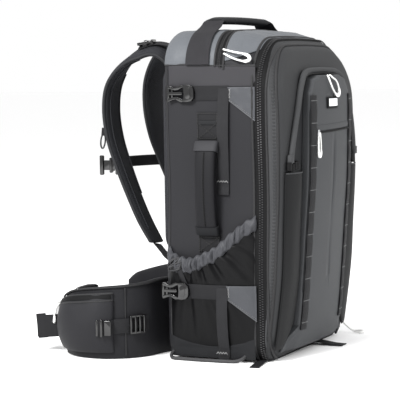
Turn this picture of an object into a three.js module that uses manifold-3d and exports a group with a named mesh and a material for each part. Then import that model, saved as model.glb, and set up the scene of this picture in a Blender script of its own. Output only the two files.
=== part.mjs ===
// A camera backpack standing upright on its base: a padded box of cloth with a zipped front lid,
// a grey centre panel, side pockets with gathered hems, compression straps, a back harness and a
// hip belt. Millimetres, +Z up, the front faces -Y, the wearer's side faces +Y, and the origin is
// the centre of the base's resting face.

import * as THREE from 'three';
import { mergeVertices } from 'three/addons/utils/BufferGeometryUtils.js';
import Module from 'manifold-3d';

const wasm = await Module();
wasm.setup();

// Driving dimensions of the bag
const bodyWidth = 352;
const bodyHeight = 558;
const topCrown = 6;
const backDepth = 92;
const zipDepth = 92;
const lidDepth = 134;
const lidCrown = 5.5;
const lidCrownFrom = 12;
const lidCrownTo = 90;
const panelDepth = 151;
const panelCrown = 8;
const bodyWall = 8;
const lidWall = 6;
const clothWall = 2;
const wingWall = 1.2;
const seatGap = 0.5;
const edgeRadius = 26;

// Driving dimensions of what is sewn on
const webbingWidth = 25;
const webbingThickness = 2;
const tailWidth = 20;
const daisyWidth = 20;
const zipBandWidth = 13;
const tapeThickness = 1.6;
const topPanelEdges = { back: 64, front: -10 };
const topZipEdges = { back: -12, front: -26 };
const wedgeEdges = { back: -28, front: -83 };
const mainZipEdges = { back: -zipDepth + zipBandWidth / 2, front: -zipDepth - zipBandWidth / 2 };
const panelWidth = 208;
const panelHeight = 484;
const flareWidth = 296;
const archHeight = 487;
const archWidth = 300;
const hemThickness = 4;
const sidePocketBulge = 17;
const frontPocketHeight = 322;
const frontPocketBulge = 9;
const haulSpan = 206;
const haulHeight = bodyHeight + 22;
const haulY = 20;
const haulWidth = 40;
const gripThickness = 13;
const sideGripWidth = 38;
const sideGripThickness = 14;
const padThickness = 16;
const strapWidth = 66;
const strapThickness = 14;
const strapReach = 242;
const wingLength = 250;
const wingHeight = 134;
const wingThickness = 15;
const hipPocketBulge = 20;
const hipStrapLength = 60;
const hipBuckleLength = 46;
const hipBuckleHeight = 50;
const pullDiameter = 3;
const baseCordDiameter = 6;
const floorGap = 0.4;
const contactGap = 0.35;

// Where the back carries its pads: they set where the straps and the hip belt start
const backFace = backDepth + seatGap;
const backPad = { halfWidth: 141, low: 181, high: 502 };
const lumbarPad = { halfWidth: 88, low: 11, high: 156 };

// Sections of the bag from the back to the front: where (share of backDepth, towards +Y), the
// top (share of bodyHeight), the radii of the top and bottom corners (shares of bodyWidth)
const bagSections = [
  { y: 1.0, top: 1.0, topCorner: 0.15, bottomCorner: 0.08 },
  { y: 0.0, top: 1.0, topCorner: 0.155, bottomCorner: 0.08 },
  { y: -0.45, top: 0.993, topCorner: 0.18, bottomCorner: 0.085 },
  { y: -1.0, top: 0.968, topCorner: 0.225, bottomCorner: 0.1 },
  { y: -1.45, top: 0.953, topCorner: 0.25, bottomCorner: 0.15 },
];

// Front edge of the lid and front of the centre panel from the base to the top: where (share of
// bodyHeight) and how far forward (share of lidDepth or panelDepth)
const lidProfile = [
  { height: 0.0, depth: 0.79 },
  { height: 0.07, depth: 0.84 },
  { height: 0.25, depth: 0.935 },
  { height: 0.4, depth: 0.965 },
  { height: 0.54, depth: 0.985 },
  { height: 0.71, depth: 1.0 },
  { height: 0.81, depth: 0.985 },
  { height: 0.9, depth: 0.925 },
  { height: 0.965, depth: 0.84 },
];
const panelProfile = [
  { height: 0.0, depth: 0.76 },
  { height: 0.08, depth: 0.845 },
  { height: 0.25, depth: 0.907 },
  { height: 0.4, depth: 0.947 },
  { height: 0.54, depth: 0.985 },
  { height: 0.7, depth: 1.0 },
  { height: 0.8, depth: 1.0 },
  { height: 0.88, depth: 0.965 },
];

// Hollows and swells of the side: height (share of bodyHeight), how tall, and how far out
// (share of edgeRadius)
const sideWaves = [
  { height: 0.52, spread: 0.15, out: -0.13 },
  { height: 0.28, spread: 0.14, out: 0.08 },
  { height: 0.74, spread: 0.14, out: 0.08 },
];

// Hem of the side pocket from the back edge to the front edge: along (share of the pocket's
// width), its lower and upper edge (shares of bodyHeight)
const hemSections = [
  { along: 0.0, lower: 0.296, upper: 0.345 },
  { along: 0.1, lower: 0.272, upper: 0.325 },
  { along: 0.28, lower: 0.27, upper: 0.317 },
  { along: 0.46, lower: 0.29, upper: 0.336 },
  { along: 0.6, lower: 0.312, upper: 0.357 },
  { along: 0.75, lower: 0.348, upper: 0.396 },
  { along: 0.9, lower: 0.383, upper: 0.43 },
  { along: 1.0, lower: 0.401, upper: 0.448 },
];

// Middle line of a shoulder strap from its top seam down: out (share of strapReach), up (share
// of bodyHeight), across (share of bodyWidth), its width and thickness (shares of strapWidth
// and strapThickness), and how far its outer edge turns to the front and drops (shares of width)
const strapSections = [
  { out: (backFace + padThickness + contactGap + 0.3 * strapThickness) / strapReach,
    up: 0.88, across: 0.16, width: 0.95, thick: 0.6, lean: 0.0, drop: 0.0 },
  { out: 0.53, up: 0.925, across: 0.165, width: 1.0, thick: 0.8, lean: 0.04, drop: 0.12 },
  { out: 0.632, up: 0.956, across: 0.172, width: 1.0, thick: 1.0, lean: 0.06, drop: 0.3 },
  { out: 0.774, up: 0.941, across: 0.193, width: 1.0, thick: 1.0, lean: 0.08, drop: 0.36 },
  { out: 0.88, up: 0.905, across: 0.214, width: 1.0, thick: 1.0, lean: 0.08, drop: 0.25 },
  { out: 0.96, up: 0.845, across: 0.232, width: 1.0, thick: 1.0, lean: 0.08, drop: 0.1 },
  { out: 0.979, up: 0.77, across: 0.243, width: 1.0, thick: 1.0, lean: 0.08, drop: 0.0 },
  { out: 0.945, up: 0.675, across: 0.253, width: 1.0, thick: 1.0, lean: 0.08, drop: 0.0 },
  { out: 0.871, up: 0.587, across: 0.264, width: 0.98, thick: 1.0, lean: 0.1, drop: 0.0 },
  { out: 0.775, up: 0.49, across: 0.273, width: 0.92, thick: 1.0, lean: 0.12, drop: 0.0 },
  { out: 0.68, up: 0.41, across: 0.284, width: 0.85, thick: 0.9, lean: 0.1, drop: 0.0 },
  { out: 0.585, up: 0.345, across: 0.292, width: 0.72, thick: 0.6, lean: 0.08, drop: 0.0 },
];

// Middle line of each hip belt wing, seen from above, from its root beside the lumbar pad to its
// tip: out sideways and back (shares of wingLength, from the back's middle) and its top (share of
// wingHeight)
const wingRoot = {
  side: (lumbarPad.halfWidth + 6 * contactGap) / wingLength,
  back: (backFace + wingThickness / 4 + 4 * contactGap) / wingLength,
  top: 1.0,
};
const wingSections = {
  left: [
    wingRoot,
    { side: 0.56, back: 0.47, top: 1.0 },
    { side: 0.72, back: 0.505, top: 0.98 },
    { side: 0.845, back: 0.6, top: 0.96 },
    { side: 0.915, back: 0.75, top: 0.94 },
    { side: 0.9, back: 0.92, top: 0.9 },
    { side: 0.82, back: 1.04, top: 0.82 },
    { side: 0.73, back: 1.12, top: 0.73 },
  ],
  right: [
    wingRoot,
    { side: 0.53, back: 0.48, top: 1.0 },
    { side: 0.65, back: 0.54, top: 0.98 },
    { side: 0.73, back: 0.66, top: 0.95 },
    { side: 0.755, back: 0.83, top: 0.92 },
    { side: 0.73, back: 1.0, top: 0.88 },
    { side: 0.655, back: 1.16, top: 0.81 },
    { side: 0.56, back: 1.3, top: 0.72 },
  ],
};

const finishes = {
  cloth: { color: 0x3d3d40, roughness: 0.85, metalness: 0 },
  darkCloth: { color: 0x29292c, roughness: 0.9, metalness: 0 },
  lightCloth: { color: 0x7f8287, roughness: 0.85, metalness: 0 },
  panelCloth: { color: 0x6c6e71, roughness: 0.8, metalness: 0 },
  mesh: { color: 0x303135, roughness: 0.95, metalness: 0 },
  webbing: { color: 0x38383b, roughness: 0.8, metalness: 0 },
  zip: { color: 0x202022, roughness: 0.6, metalness: 0 },
  plastic: { color: 0x151517, roughness: 0.35, metalness: 0 },
  cord: { color: 0xeeeeec, roughness: 0.7, metalness: 0 },
  plate: { color: 0xc9cacc, roughness: 0.35, metalness: 0.6 },
};

const backpack = new THREE.Group();

function addPiece(name, geometry, finish) {
  const mesh = new THREE.Mesh(geometry, new THREE.MeshStandardMaterial(finishes[finish]));
  mesh.name = name;
  backpack.add(mesh);
}

// Smooth curve through a table's rows, read at one column's value
function readTable(rows, key, value, at) {
  const sign = Math.sign(rows[rows.length - 1][key] - rows[0][key]);
  let i = 0;
  while (i < rows.length - 2 && (at - rows[i + 1][key]) * sign > 0) i += 1;
  const before = rows[Math.max(i - 1, 0)];
  const after = rows[Math.min(i + 2, rows.length - 1)];
  const span = rows[i + 1][key] - rows[i][key];
  const share = THREE.MathUtils.clamp((at - rows[i][key]) / span, 0, 1);
  const startSlope = (rows[i + 1][value] - before[value]) / (rows[i + 1][key] - before[key]);
  const endSlope = (after[value] - rows[i][value]) / (after[key] - rows[i][key]);
  const square = share * share;
  const cube = square * share;
  return (2 * cube - 3 * square + 1) * rows[i][value] + (cube - 2 * square + share) * startSlope * span
    + (3 * square - 2 * cube) * rows[i + 1][value] + (cube - square) * endSlope * span;
}

// A closed geometry from points and triangles, with its faces turned outwards
function closedGeometry(points, triangles) {
  let volume = 0;
  for (const [a, b, c] of triangles) {
    volume += points[a].dot(points[b].clone().cross(points[c]));
  }
  const geometry = new THREE.BufferGeometry();
  const ordered = triangles.map(([a, b, c]) => (volume < 0 ? [a, c, b] : [a, b, c]));
  geometry.setAttribute('position', new THREE.Float32BufferAttribute(points.flatMap((p) => p.toArray()), 3));
  geometry.setIndex(ordered.flat());
  return mergeVertices(geometry, 1e-4);
}

// A body through rings of equal point counts: its two ends are capped, or joined in a loop
function loft(rings, looped = false) {
  const count = rings[0].length;
  const points = rings.flat();
  const triangles = [];
  const joins = looped ? rings.length : rings.length - 1;
  for (let r = 0; r < joins; r += 1) {
    for (let i = 0; i < count; i += 1) {
      const a = r * count + i;
      const b = r * count + ((i + 1) % count);
      const c = ((r + 1) % rings.length) * count + i;
      const d = ((r + 1) % rings.length) * count + ((i + 1) % count);
      triangles.push([a, c, b], [b, c, d]);
    }
  }
  if (!looped) {
    for (const [first, turned] of [[0, false], [(rings.length - 1) * count, true]]) {
      const middle = new THREE.Vector3();
      for (let i = 0; i < count; i += 1) middle.addScaledVector(points[first + i], 1 / count);
      points.push(middle);
      for (let i = 0; i < count; i += 1) {
        const a = first + i;
        const b = first + ((i + 1) % count);
        triangles.push(turned ? [points.length - 1, b, a] : [points.length - 1, a, b]);
      }
    }
  }
  return closedGeometry(points, triangles);
}

// A sheet of cloth on a surface: place(u, v, lift) gives a point at a height above the surface
function sheet(place, columns, rows, lift, thickness) {
  const points = [];
  const triangles = [];
  for (const height of [lift + thickness, lift]) {
    for (let i = 0; i <= columns; i += 1) {
      for (let j = 0; j <= rows; j += 1) points.push(place(i / columns, j / rows, height));
    }
  }
  const layer = (columns + 1) * (rows + 1);
  const at = (i, j, below) => below * layer + i * (rows + 1) + j;
  const quad = (a, b, c, d) => triangles.push([a, b, c], [a, c, d]);
  for (let i = 0; i < columns; i += 1) {
    for (let j = 0; j < rows; j += 1) {
      quad(at(i, j, 0), at(i + 1, j, 0), at(i + 1, j + 1, 0), at(i, j + 1, 0));
      quad(at(i, j, 1), at(i, j + 1, 1), at(i + 1, j + 1, 1), at(i + 1, j, 1));
    }
    quad(at(i, 0, 0), at(i, 0, 1), at(i + 1, 0, 1), at(i + 1, 0, 0));
    quad(at(i, rows, 0), at(i + 1, rows, 0), at(i + 1, rows, 1), at(i, rows, 1));
  }
  for (let j = 0; j < rows; j += 1) {
    quad(at(0, j, 0), at(0, j + 1, 0), at(0, j + 1, 1), at(0, j, 1));
    quad(at(columns, j, 0), at(columns, j, 1), at(columns, j + 1, 1), at(columns, j + 1, 0));
  }
  return closedGeometry(points, triangles);
}

// A long soft piece along a path: each station has a point, the direction of its width, a width
// and a thickness. A roundness of 1 is a flat band with square edges, 2 an oval.
function band(stations, sides, roundness) {
  const rings = stations.map((station, i) => {
    const before = stations[Math.max(i - 1, 0)].point;
    const after = stations[Math.min(i + 1, stations.length - 1)].point;
    const along = after.clone().sub(before).normalize();
    const wide = station.across.clone().addScaledVector(along, -station.across.dot(along)).normalize();
    const thick = along.clone().cross(wide);
    const ring = [];
    for (let k = 0; k < sides; k += 1) {
      const turn = ((k + 0.5) / sides) * 2 * Math.PI;
      const cos = Math.cos(turn);
      const sin = Math.sin(turn);
      const x = roundness === 1 ? Math.sign(cos) : Math.sign(cos) * Math.abs(cos) ** (2 / roundness);
      const y = roundness === 1 ? Math.sign(sin) : Math.sign(sin) * Math.abs(sin) ** (2 / roundness);
      ring.push(station.point.clone()
        .addScaledVector(wide, (x * station.width) / 2)
        .addScaledVector(thick, (y * station.thickness) / 2));
    }
    return ring;
  });
  return loft(rings);
}

// A flat strap of constant size through a few points
function strap(points, across, width, thickness = webbingThickness) {
  return band(points.map((point) => ({ point, across, width, thickness })), 4, 1);
}

// Two overlapping pieces made one
function join(first, second) {
  const [a, b] = [first, second].map((geometry) => new wasm.Manifold(new wasm.Mesh({
    numProp: 3,
    vertProperties: geometry.attributes.position.array,
    triVerts: new Uint32Array(geometry.index.array),
  })));
  const { vertProperties, triVerts } = a.add(b).getMesh();
  const geometry = new THREE.BufferGeometry();
  geometry.setAttribute('position', new THREE.BufferAttribute(vertProperties, 3));
  geometry.setIndex(new THREE.BufferAttribute(triVerts, 1));
  return geometry;
}

// A round cord along a smooth curve through its points
function cord(points, diameter, sides = 8) {
  const curve = new THREE.CatmullRomCurve3(points, false, 'centripetal');
  const ring = new THREE.Shape();
  for (let k = 0; k < sides; k += 1) {
    const turn = (k / sides) * 2 * Math.PI;
    const corner = [Math.cos(turn) * diameter / 2, Math.sin(turn) * diameter / 2];
    if (k === 0) ring.moveTo(...corner);
    else ring.lineTo(...corner);
  }
  ring.closePath();
  const steps = Math.min(80, Math.ceil(curve.getLength() / (2.5 * diameter)));
  const geometry = new THREE.ExtrudeGeometry(ring, { steps, extrudePath: curve, bevelEnabled: false });
  geometry.deleteAttribute('normal');
  geometry.deleteAttribute('uv');
  return mergeVertices(geometry, 1e-4);
}

// The bag's outline across, at a place along Y and an inset from its outer face: points in the
// XZ plane from the middle of the base, up the left side, over the top and down the right
const outlineSteps = { base: 2, lowerCorner: 4, side: 12, upperCorner: 6, top: 3 };
const halfSteps = Object.values(outlineSteps).reduce((sum, steps) => sum + steps, 0);

function sideWave(z) {
  const share = z / bodyHeight;
  return sideWaves.reduce((sum, wave) => (
    sum + edgeRadius * wave.out * Math.exp(-(((share - wave.height) / wave.spread) ** 2))), 0);
}

function halfOutline(y, inset) {
  const at = y / backDepth;
  const halfWidth = bodyWidth / 2 - inset;
  const top = readTable(bagSections, 'y', 'top', at) * bodyHeight - inset;
  const upper = Math.max(readTable(bagSections, 'y', 'topCorner', at) * bodyWidth - inset, 8);
  const lower = Math.max(readTable(bagSections, 'y', 'bottomCorner', at) * bodyWidth - inset, 8);
  const points = [];
  const arc = (x, z, radius, start, steps) => {
    for (let k = 0; k < steps; k += 1) {
      const turn = start + (k / steps) * (Math.PI / 2);
      points.push([x + radius * Math.cos(turn), z + radius * Math.sin(turn)]);
    }
  };
  for (let k = 0; k < outlineSteps.base; k += 1) {
    points.push([(k / outlineSteps.base) * (halfWidth - lower), inset]);
  }
  arc(halfWidth - lower, inset + lower, lower, -Math.PI / 2, outlineSteps.lowerCorner);
  for (let k = 0; k < outlineSteps.side; k += 1) {
    points.push([halfWidth, inset + lower + (k / outlineSteps.side) * (top - upper - inset - lower)]);
  }
  arc(halfWidth - upper, top - upper, upper, 0, outlineSteps.upperCorner);
  for (let k = 0; k <= outlineSteps.top; k += 1) {
    points.push([(halfWidth - upper) * (1 - k / outlineSteps.top), top]);
  }
  return points.map(([x, z]) => {
    const outwards = (x / halfWidth) ** 2;
    const raised = Math.max(0, (z - top + upper) / upper) * topCrown * (1 - outwards);
    return [x + sideWave(z) * outwards, z + raised];
  });
}

function outline(y, inset) {
  const half = halfOutline(y, inset);
  const left = half.map(([x, z]) => [-x, z]);
  const right = half.slice(1, -1).reverse();
  return [...left, ...right];
}

function bagRing(y, inset, depthOf = () => y) {
  return outline(y, inset).map(([x, z]) => new THREE.Vector3(x, depthOf(z), z));
}

// A point on the bag's outer face: a place round the outline counted in its steps, and Y
function roundBag(step, y, lift) {
  const points = outline(y, -lift);
  const i = Math.floor(step);
  const [x0, z0] = points[i % points.length];
  const [x1, z1] = points[(i + 1) % points.length];
  return new THREE.Vector3(x0 + (x1 - x0) * (step - i), y, z0 + (z1 - z0) * (step - i));
}

// Front faces: the lid's, crowned towards its middle, and the centre panel's
function lidFront(x, z, lift) {
  const edge = readTable(lidProfile, 'height', 'depth', z / bodyHeight) * lidDepth;
  const inwards = Math.min(bodyWidth / 2 - Math.abs(x), bodyHeight - z, z);
  const crown = lidCrown * Math.min(1, Math.max(0, inwards - lidCrownFrom) / (lidCrownTo - lidCrownFrom));
  return new THREE.Vector3(x, -(edge + crown + lift), z);
}

function panelFront(x, z, lift) {
  const edge = readTable(panelProfile, 'height', 'depth', z / bodyHeight) * panelDepth;
  const crown = panelCrown * (1 - (2 * x / panelWidth) ** 2);
  return new THREE.Vector3(x, -(edge + Math.max(crown, 0) + lift), z);
}

// The side face, and the side pocket's outer face over it; side is -1 on the left, 1 on the right
function sideX(y, z) {
  const round = Math.max(0, y - (backDepth - edgeRadius));
  return bodyWidth / 2 + sideWave(z) - (edgeRadius - Math.sqrt(edgeRadius ** 2 - round ** 2));
}

function onSide(side, y, z, lift) {
  return new THREE.Vector3(side * (sideX(y, z) + lift), y, z);
}

const pocketBack = backDepth - 0.55 * edgeRadius;
const pocketFront = -zipDepth + 0.65 * zipBandWidth + 3;
const pocketBase = 0.04 * bodyHeight;

function pocketSwell(y, z) {
  const along = THREE.MathUtils.clamp((pocketBack - y) / (pocketBack - pocketFront), 0, 1);
  const up = THREE.MathUtils.clamp((z - pocketBase) / (0.25 * bodyHeight), 0, 1);
  return sidePocketBulge * Math.sin(Math.PI * along) ** 0.7 * Math.sin((Math.PI / 2) * up) ** 0.8;
}

function onPocket(side, y, z, lift) {
  return onSide(side, y, z, pocketSwell(y, z) + lift);
}

// Where the main body's outline is set between its back and its zip (shares of zipDepth)
const bodyOutlines = [0, -0.45, -0.78];

// Main compartment: a padded tray of cloth, open to the front
function mainBody() {
  const inner = backDepth - bodyWall;
  const rings = [];
  for (let k = 0; k <= 4; k += 1) {
    const turn = (k / 4) * (Math.PI / 2);
    rings.push(bagRing(backDepth - edgeRadius * (1 - Math.sin(Math.PI / 2 - turn)),
      edgeRadius * (1 - Math.sin(turn))));
  }
  for (const share of bodyOutlines) rings.push(bagRing(share * zipDepth, 0));
  rings.push(bagRing(-zipDepth, 0));
  rings.push(bagRing(-zipDepth, bodyWall), bagRing(inner - edgeRadius, bodyWall));
  rings.push(bagRing(inner, edgeRadius + bodyWall));
  return loft(rings);
}

// Front lid: a padded shell, open to the back, whose front leans out towards the top
function frontLid() {
  const start = zipDepth + seatGap;
  const frontEdge = (z, share, back) => (
    -(start + (-lidFront(bodyWidth / 2, z, 0).y - back - start) * share));
  const rings = [bagRing(-start, 0)];
  const edges = [
    { share: 0.5, inset: 0.5, back: 0 },
    { share: 1, inset: 2, back: 9 },
    { share: 1, inset: 5.5, back: 3 },
    { share: 1, inset: lidCrownFrom, back: 0 },
    { share: 1, inset: (lidCrownFrom + lidCrownTo) / 2, back: -lidCrown / 2 },
    { share: 1, inset: lidCrownTo, back: -lidCrown },
  ];
  for (const { share, inset, back } of edges) {
    rings.push(bagRing(-(start + (lidDepth - start) * share), inset, (z) => frontEdge(z, share, back)));
  }
  const hollow = [
    { share: 0, inset: lidWall, back: 0 },
    { share: 1, inset: lidWall + 5, back: lidWall + 6 },
    { share: 1, inset: lidWall + 14, back: lidWall },
  ].reverse();
  const inside = hollow.map(({ share, inset, back }) => (
    bagRing(-(start + (lidDepth - start) * share), inset, (z) => (share ? frontEdge(z, share, back) : -start))));
  return loft([...inside, ...rings]);
}

// Outline of the centre panel: up the left edge, over the top and down the right, then the base.
// Across (share of half its width) and up (share of panelHeight).
const flare = flareWidth / panelWidth;
const panelEdge = [
  { across: 0.0, up: 0.03 },
  { across: 0.5, up: 0.03 },
  { across: 1.0, up: 0.028 },
  { across: flare, up: 0.03 },
  { across: 0.45 + flare * 0.55, up: 0.075 },
  { across: 1.0, up: 0.115 },
  { across: 1.0, up: 0.2 },
  { across: 1.0, up: 0.33 },
  { across: 1.0, up: 0.46 },
  { across: 1.0, up: 0.6 },
  { across: 1.0, up: 0.74 },
  { across: 0.98, up: 0.86 },
  { across: 0.9, up: 0.94 },
  { across: 0.72, up: 0.985 },
  { across: 0.4, up: 1.0 },
  { across: 0.0, up: 1.0 },
];

function panelRing(inset, depthOf) {
  const middle = panelHeight / 2;
  const half = panelEdge.map(({ across, up }) => {
    const x = (across * panelWidth) / 2;
    const z = up * panelHeight;
    return [x * (1 - inset / (panelWidth / 2)), middle + (z - middle) * (1 - inset / middle)];
  });
  const right = half.slice(1, -1).reverse().map(([x, z]) => [x, z]);
  return [...half.map(([x, z]) => [-x, z]), ...right].map(([x, z]) => depthOf(x, z));
}

// Grey centre panel: a shallow pocket of cloth, open to the back, on the lid's front
function centrePanel() {
  const seat = (x, z) => lidFront(x, z, 2 * seatGap);
  const front = (lift) => (x, z) => {
    const point = panelFront(x, z, lift);
    const least = lidFront(x, z, 4 * seatGap + clothWall + lift);
    const spread = THREE.MathUtils.clamp((Math.abs(x) - panelWidth / 2) / 20, 0, 1);
    point.y = THREE.MathUtils.lerp(Math.min(point.y, least.y), least.y, spread);
    return point;
  };
  return loft([
    panelRing(90, front(-clothWall)), panelRing(40, front(-clothWall)), panelRing(clothWall + 2, front(-clothWall)),
    panelRing(clothWall, seat), panelRing(0, seat), panelRing(0, front(-2)), panelRing(2, front(0)),
    panelRing(16, front(0)), panelRing(40, front(0)), panelRing(90, front(0)),
  ]);
}

// Webbing with a seam each 38 mm that runs down both edges of the centre panel
function daisyWebbing(side) {
  const low = 0.1 * panelHeight;
  const high = 0.93 * panelHeight;
  const middle = side * (panelWidth / 2 - 5 - daisyWidth / 2);
  const place = (u, v, lift) => panelFront(middle + (v - 0.5) * daisyWidth, low + (high - low) * u, lift);
  return sheet(place, 12, 1, seatGap + 0.3, webbingThickness);
}

// Arch over the centre panel's upper half, from its left end to its right: a dark cloth gusset
// from the panel's edge out to the arch, and the zip round its outer edge. Where along, across
// (share of half of archWidth) and up (share of archHeight).
const archRows = [
  { along: 0, across: 1.0, up: 0.69 },
  { along: 0.3, across: 0.92, up: 0.785 },
  { along: 0.55, across: 0.8, up: 0.88 },
  { along: 0.75, across: 0.66, up: 0.955 },
  { along: 0.88, across: 0.48, up: 0.993 },
  { along: 1, across: 0, up: 1.0 },
];

function archPoint(u) {
  const share = 1 - Math.abs(2 * u - 1);
  const across = readTable(archRows, 'along', 'across', share) * (archWidth / 2);
  return [u < 0.5 ? -across : across, readTable(archRows, 'along', 'up', share) * archHeight];
}

// Where the line from the panel's upper middle to a point of the arch leaves the panel
function panelExit([x, z]) {
  const from = new THREE.Vector2(0, 0.68 * panelHeight);
  const to = new THREE.Vector2(Math.abs(x), z);
  const way = to.clone().sub(from);
  let exit = 0;
  for (let i = 4; i < panelEdge.length - 1; i += 1) {
    const a = new THREE.Vector2(panelEdge[i].across * panelWidth / 2, panelEdge[i].up * panelHeight);
    const b = new THREE.Vector2(panelEdge[i + 1].across * panelWidth / 2, panelEdge[i + 1].up * panelHeight);
    const edge = b.clone().sub(a);
    const cross = way.cross(edge);
    const share = a.clone().sub(from).cross(edge) / cross;
    const along = a.clone().sub(from).cross(way) / cross;
    if (share > 0 && along >= -1e-6 && along <= 1 + 1e-6) exit = Math.max(exit, share);
  }
  const reach = exit + (7 * seatGap) / way.length();
  return [Math.sign(x) * way.x * reach, from.y + way.y * reach];
}

function archGusset() {
  const place = (u, v, lift) => {
    const [x1, z1] = archPoint(u);
    const [x0, z0] = panelExit([x1, z1]);
    return lidFront(x0 + (x1 - x0) * v, z0 + (z1 - z0) * v, lift);
  };
  return sheet(place, 26, 1, 2 * seatGap, clothWall);
}

function archZip() {
  const rows = 24;
  const rings = [];
  for (let i = 0; i <= rows; i += 1) {
    const [x, z] = archPoint(i / rows);
    const [xNext, zNext] = archPoint(Math.min(1, (i + 0.5) / rows));
    const [xLast, zLast] = archPoint(Math.max(0, (i - 0.5) / rows));
    const out = new THREE.Vector2(-(zNext - zLast), xNext - xLast).normalize();
    const section = [[1.2, 1], [1.2, 7], [5, 10], [9, 7.5], [10.5, 1]];
    rings.push(section.map(([away, lift]) => lidFront(x + out.x * away, z + out.y * away, lift + seatGap)));
  }
  return loft(rings);
}

// Dark stretch pocket on the lid's front, beside the centre panel, open at its top
function frontPocket(side) {
  const inner = panelWidth / 2 + 2;
  const outer = bodyWidth / 2 - 7;
  const flareTop = panelEdge[5].up * panelHeight + 9;
  const slope = 1 / (flare - 1);
  const place = (u, v, lift) => {
    const x = side * (inner + (outer - inner) * u);
    const dropped = (slope * (outer - inner) * u * 2 * (flareTop - 20)) / panelWidth;
    const low = Math.max(flareTop - dropped, 0.04 * bodyHeight);
    const z = low + (frontPocketHeight - low) * v;
    const swell = frontPocketBulge * Math.sin(Math.PI * u) ** 0.8 * (0.25 + 0.75 * v);
    return lidFront(x, z, swell + lift);
  };
  return sheet(place, 6, 6, 2 * seatGap, clothWall);
}

// Zips and skins of cloth that run round the bag on its outer face, between two places along Y.
// They bend where the main body's outline does.
function roundBand(first, last, { back, front }) {
  const bends = bodyOutlines.map((share) => share * zipDepth).filter((y) => y < back && y > front);
  const edges = [back, ...bends, front];
  const rows = edges.length - 1;
  const place = (u, v, lift) => roundBag(first + (last - first) * u, edges[Math.round(v * rows)], lift);
  return sheet(place, last - first, rows, seatGap, tapeThickness);
}

function lowerCornerStep(side) {
  const count = outlineSteps.base + 1;
  return side < 0 ? count : 2 * halfSteps - count;
}

function upperSideStep(side) {
  const count = outlineSteps.base + outlineSteps.lowerCorner + outlineSteps.side;
  return side < 0 ? count : 2 * halfSteps - count;
}

function sidePocket(side) {
  const hem = (y) => {
    const along = (pocketBack - y) / (pocketBack - pocketFront);
    return readTable(hemSections, 'along', 'lower', along) * bodyHeight - 4 * contactGap;
  };
  const place = (u, v, lift) => {
    const y = pocketBack + (pocketFront - pocketBack) * u;
    return onPocket(side, y, pocketBase + (hem(y) - pocketBase) * v, lift);
  };
  return sheet(place, 14, 4, 1.6 * seatGap, clothWall);
}

// Gathered hem of the side pocket: its folds stand out and dip between the gathers
function pocketHem(side) {
  const gathers = 11;
  const place = (u, v, lift) => {
    const y = pocketBack + (pocketFront - pocketBack) * u;
    const low = readTable(hemSections, 'along', 'lower', u) * bodyHeight;
    const high = readTable(hemSections, 'along', 'upper', u) * bodyHeight;
    const fold = (1 - Math.cos(2 * Math.PI * gathers * u)) / 2;
    const outer = lift > hemThickness;
    const swell = outer ? Math.sin(Math.PI * v) * (1 + fold) * 0.5 * hemThickness : 0;
    return onPocket(side, y, low + (high - low) * v, lift + swell);
  };
  return sheet(place, 2 * gathers, 3, 1.6 * seatGap, hemThickness);
}

// Compression straps: heights and places along the side, as shares of bodyHeight and backDepth
const compression = {
  upper: { up: 0.818, buckleBack: 0.82, wing: { top: 0.836, low: 0.735 }, tail: 0.51, on: onSide },
  lower: { up: 0.216, buckleBack: 0.9, wing: { top: 0.237, low: 0.129 }, tail: 0.008, on: onPocket },
};
const buckleLength = 50;
const buckleWidth = 30;
const buckleThickness = 8;

// The side pocket's cloth lies under the lower straps, with a clearance on both of its faces
const clothUnder = (on) => (on === onPocket ? clothWall + 2.4 * seatGap : 0);

function buckle(side, set) {
  const { up, buckleBack, on } = set;
  const outlineShape = new THREE.Shape();
  const half = buckleWidth / 2;
  const corners = [
    [0, -0.85], [0.06, -1], [0.5, -1], [0.56, -0.82], [0.92, -0.82], [1, -0.65],
  ];
  const path = [...corners, ...corners.map(([x, y]) => [x, -y]).reverse()];
  path.forEach(([x, y], i) => {
    if (i === 0) outlineShape.moveTo(x * buckleLength, y * half);
    else outlineShape.lineTo(x * buckleLength, y * half);
  });
  outlineShape.closePath();
  for (const { start, end, reach } of [{ start: 0.1, end: 0.2, reach: 0.6 }, { start: 0.84, end: 0.905, reach: 0.5 }]) {
    const slot = new THREE.Path();
    slot.moveTo(start * buckleLength, -half * reach);
    slot.lineTo(start * buckleLength, half * reach);
    slot.lineTo(end * buckleLength, half * reach * 0.98);
    slot.lineTo(end * buckleLength, -half * reach * 0.98);
    slot.closePath();
    outlineShape.holes.push(slot);
  }
  const geometry = new THREE.ExtrudeGeometry(outlineShape, { depth: buckleThickness, bevelEnabled: false });
  geometry.deleteAttribute('normal');
  geometry.deleteAttribute('uv');
  const back = buckleBack * backDepth;
  const seat = buckleSeat(side, set);
  const position = geometry.attributes.position;
  for (let i = 0; i < position.count; i += 1) {
    const y = back - position.getX(i);
    const z = up * bodyHeight + position.getY(i);
    position.setXYZ(i, side * (seat + position.getZ(i)), y, z);
  }
  const merged = mergeVertices(geometry, 1e-4);
  const points = [];
  for (let i = 0; i < merged.attributes.position.count; i += 1) {
    points.push(new THREE.Vector3().fromBufferAttribute(merged.attributes.position, i));
  }
  const triangles = [];
  for (let i = 0; i < merged.index.count; i += 3) {
    triangles.push([merged.index.getX(i), merged.index.getX(i + 1), merged.index.getX(i + 2)]);
  }
  return closedGeometry(points, triangles);
}

// How far out a buckle's flat back lies, so that it clears the cloth under it
function buckleSeat(side, { up, buckleBack, on }) {
  const back = buckleBack * backDepth;
  let out = 0;
  for (const z of [up * bodyHeight - buckleWidth / 2, up * bodyHeight, up * bodyHeight + buckleWidth / 2]) {
    for (let k = 0; k <= 4; k += 1) {
      const y = back - (k / 4) * buckleLength;
      out = Math.max(out, Math.abs(on(side, y, z, clothUnder(on)).x));
    }
  }
  return out + seatGap;
}

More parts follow.
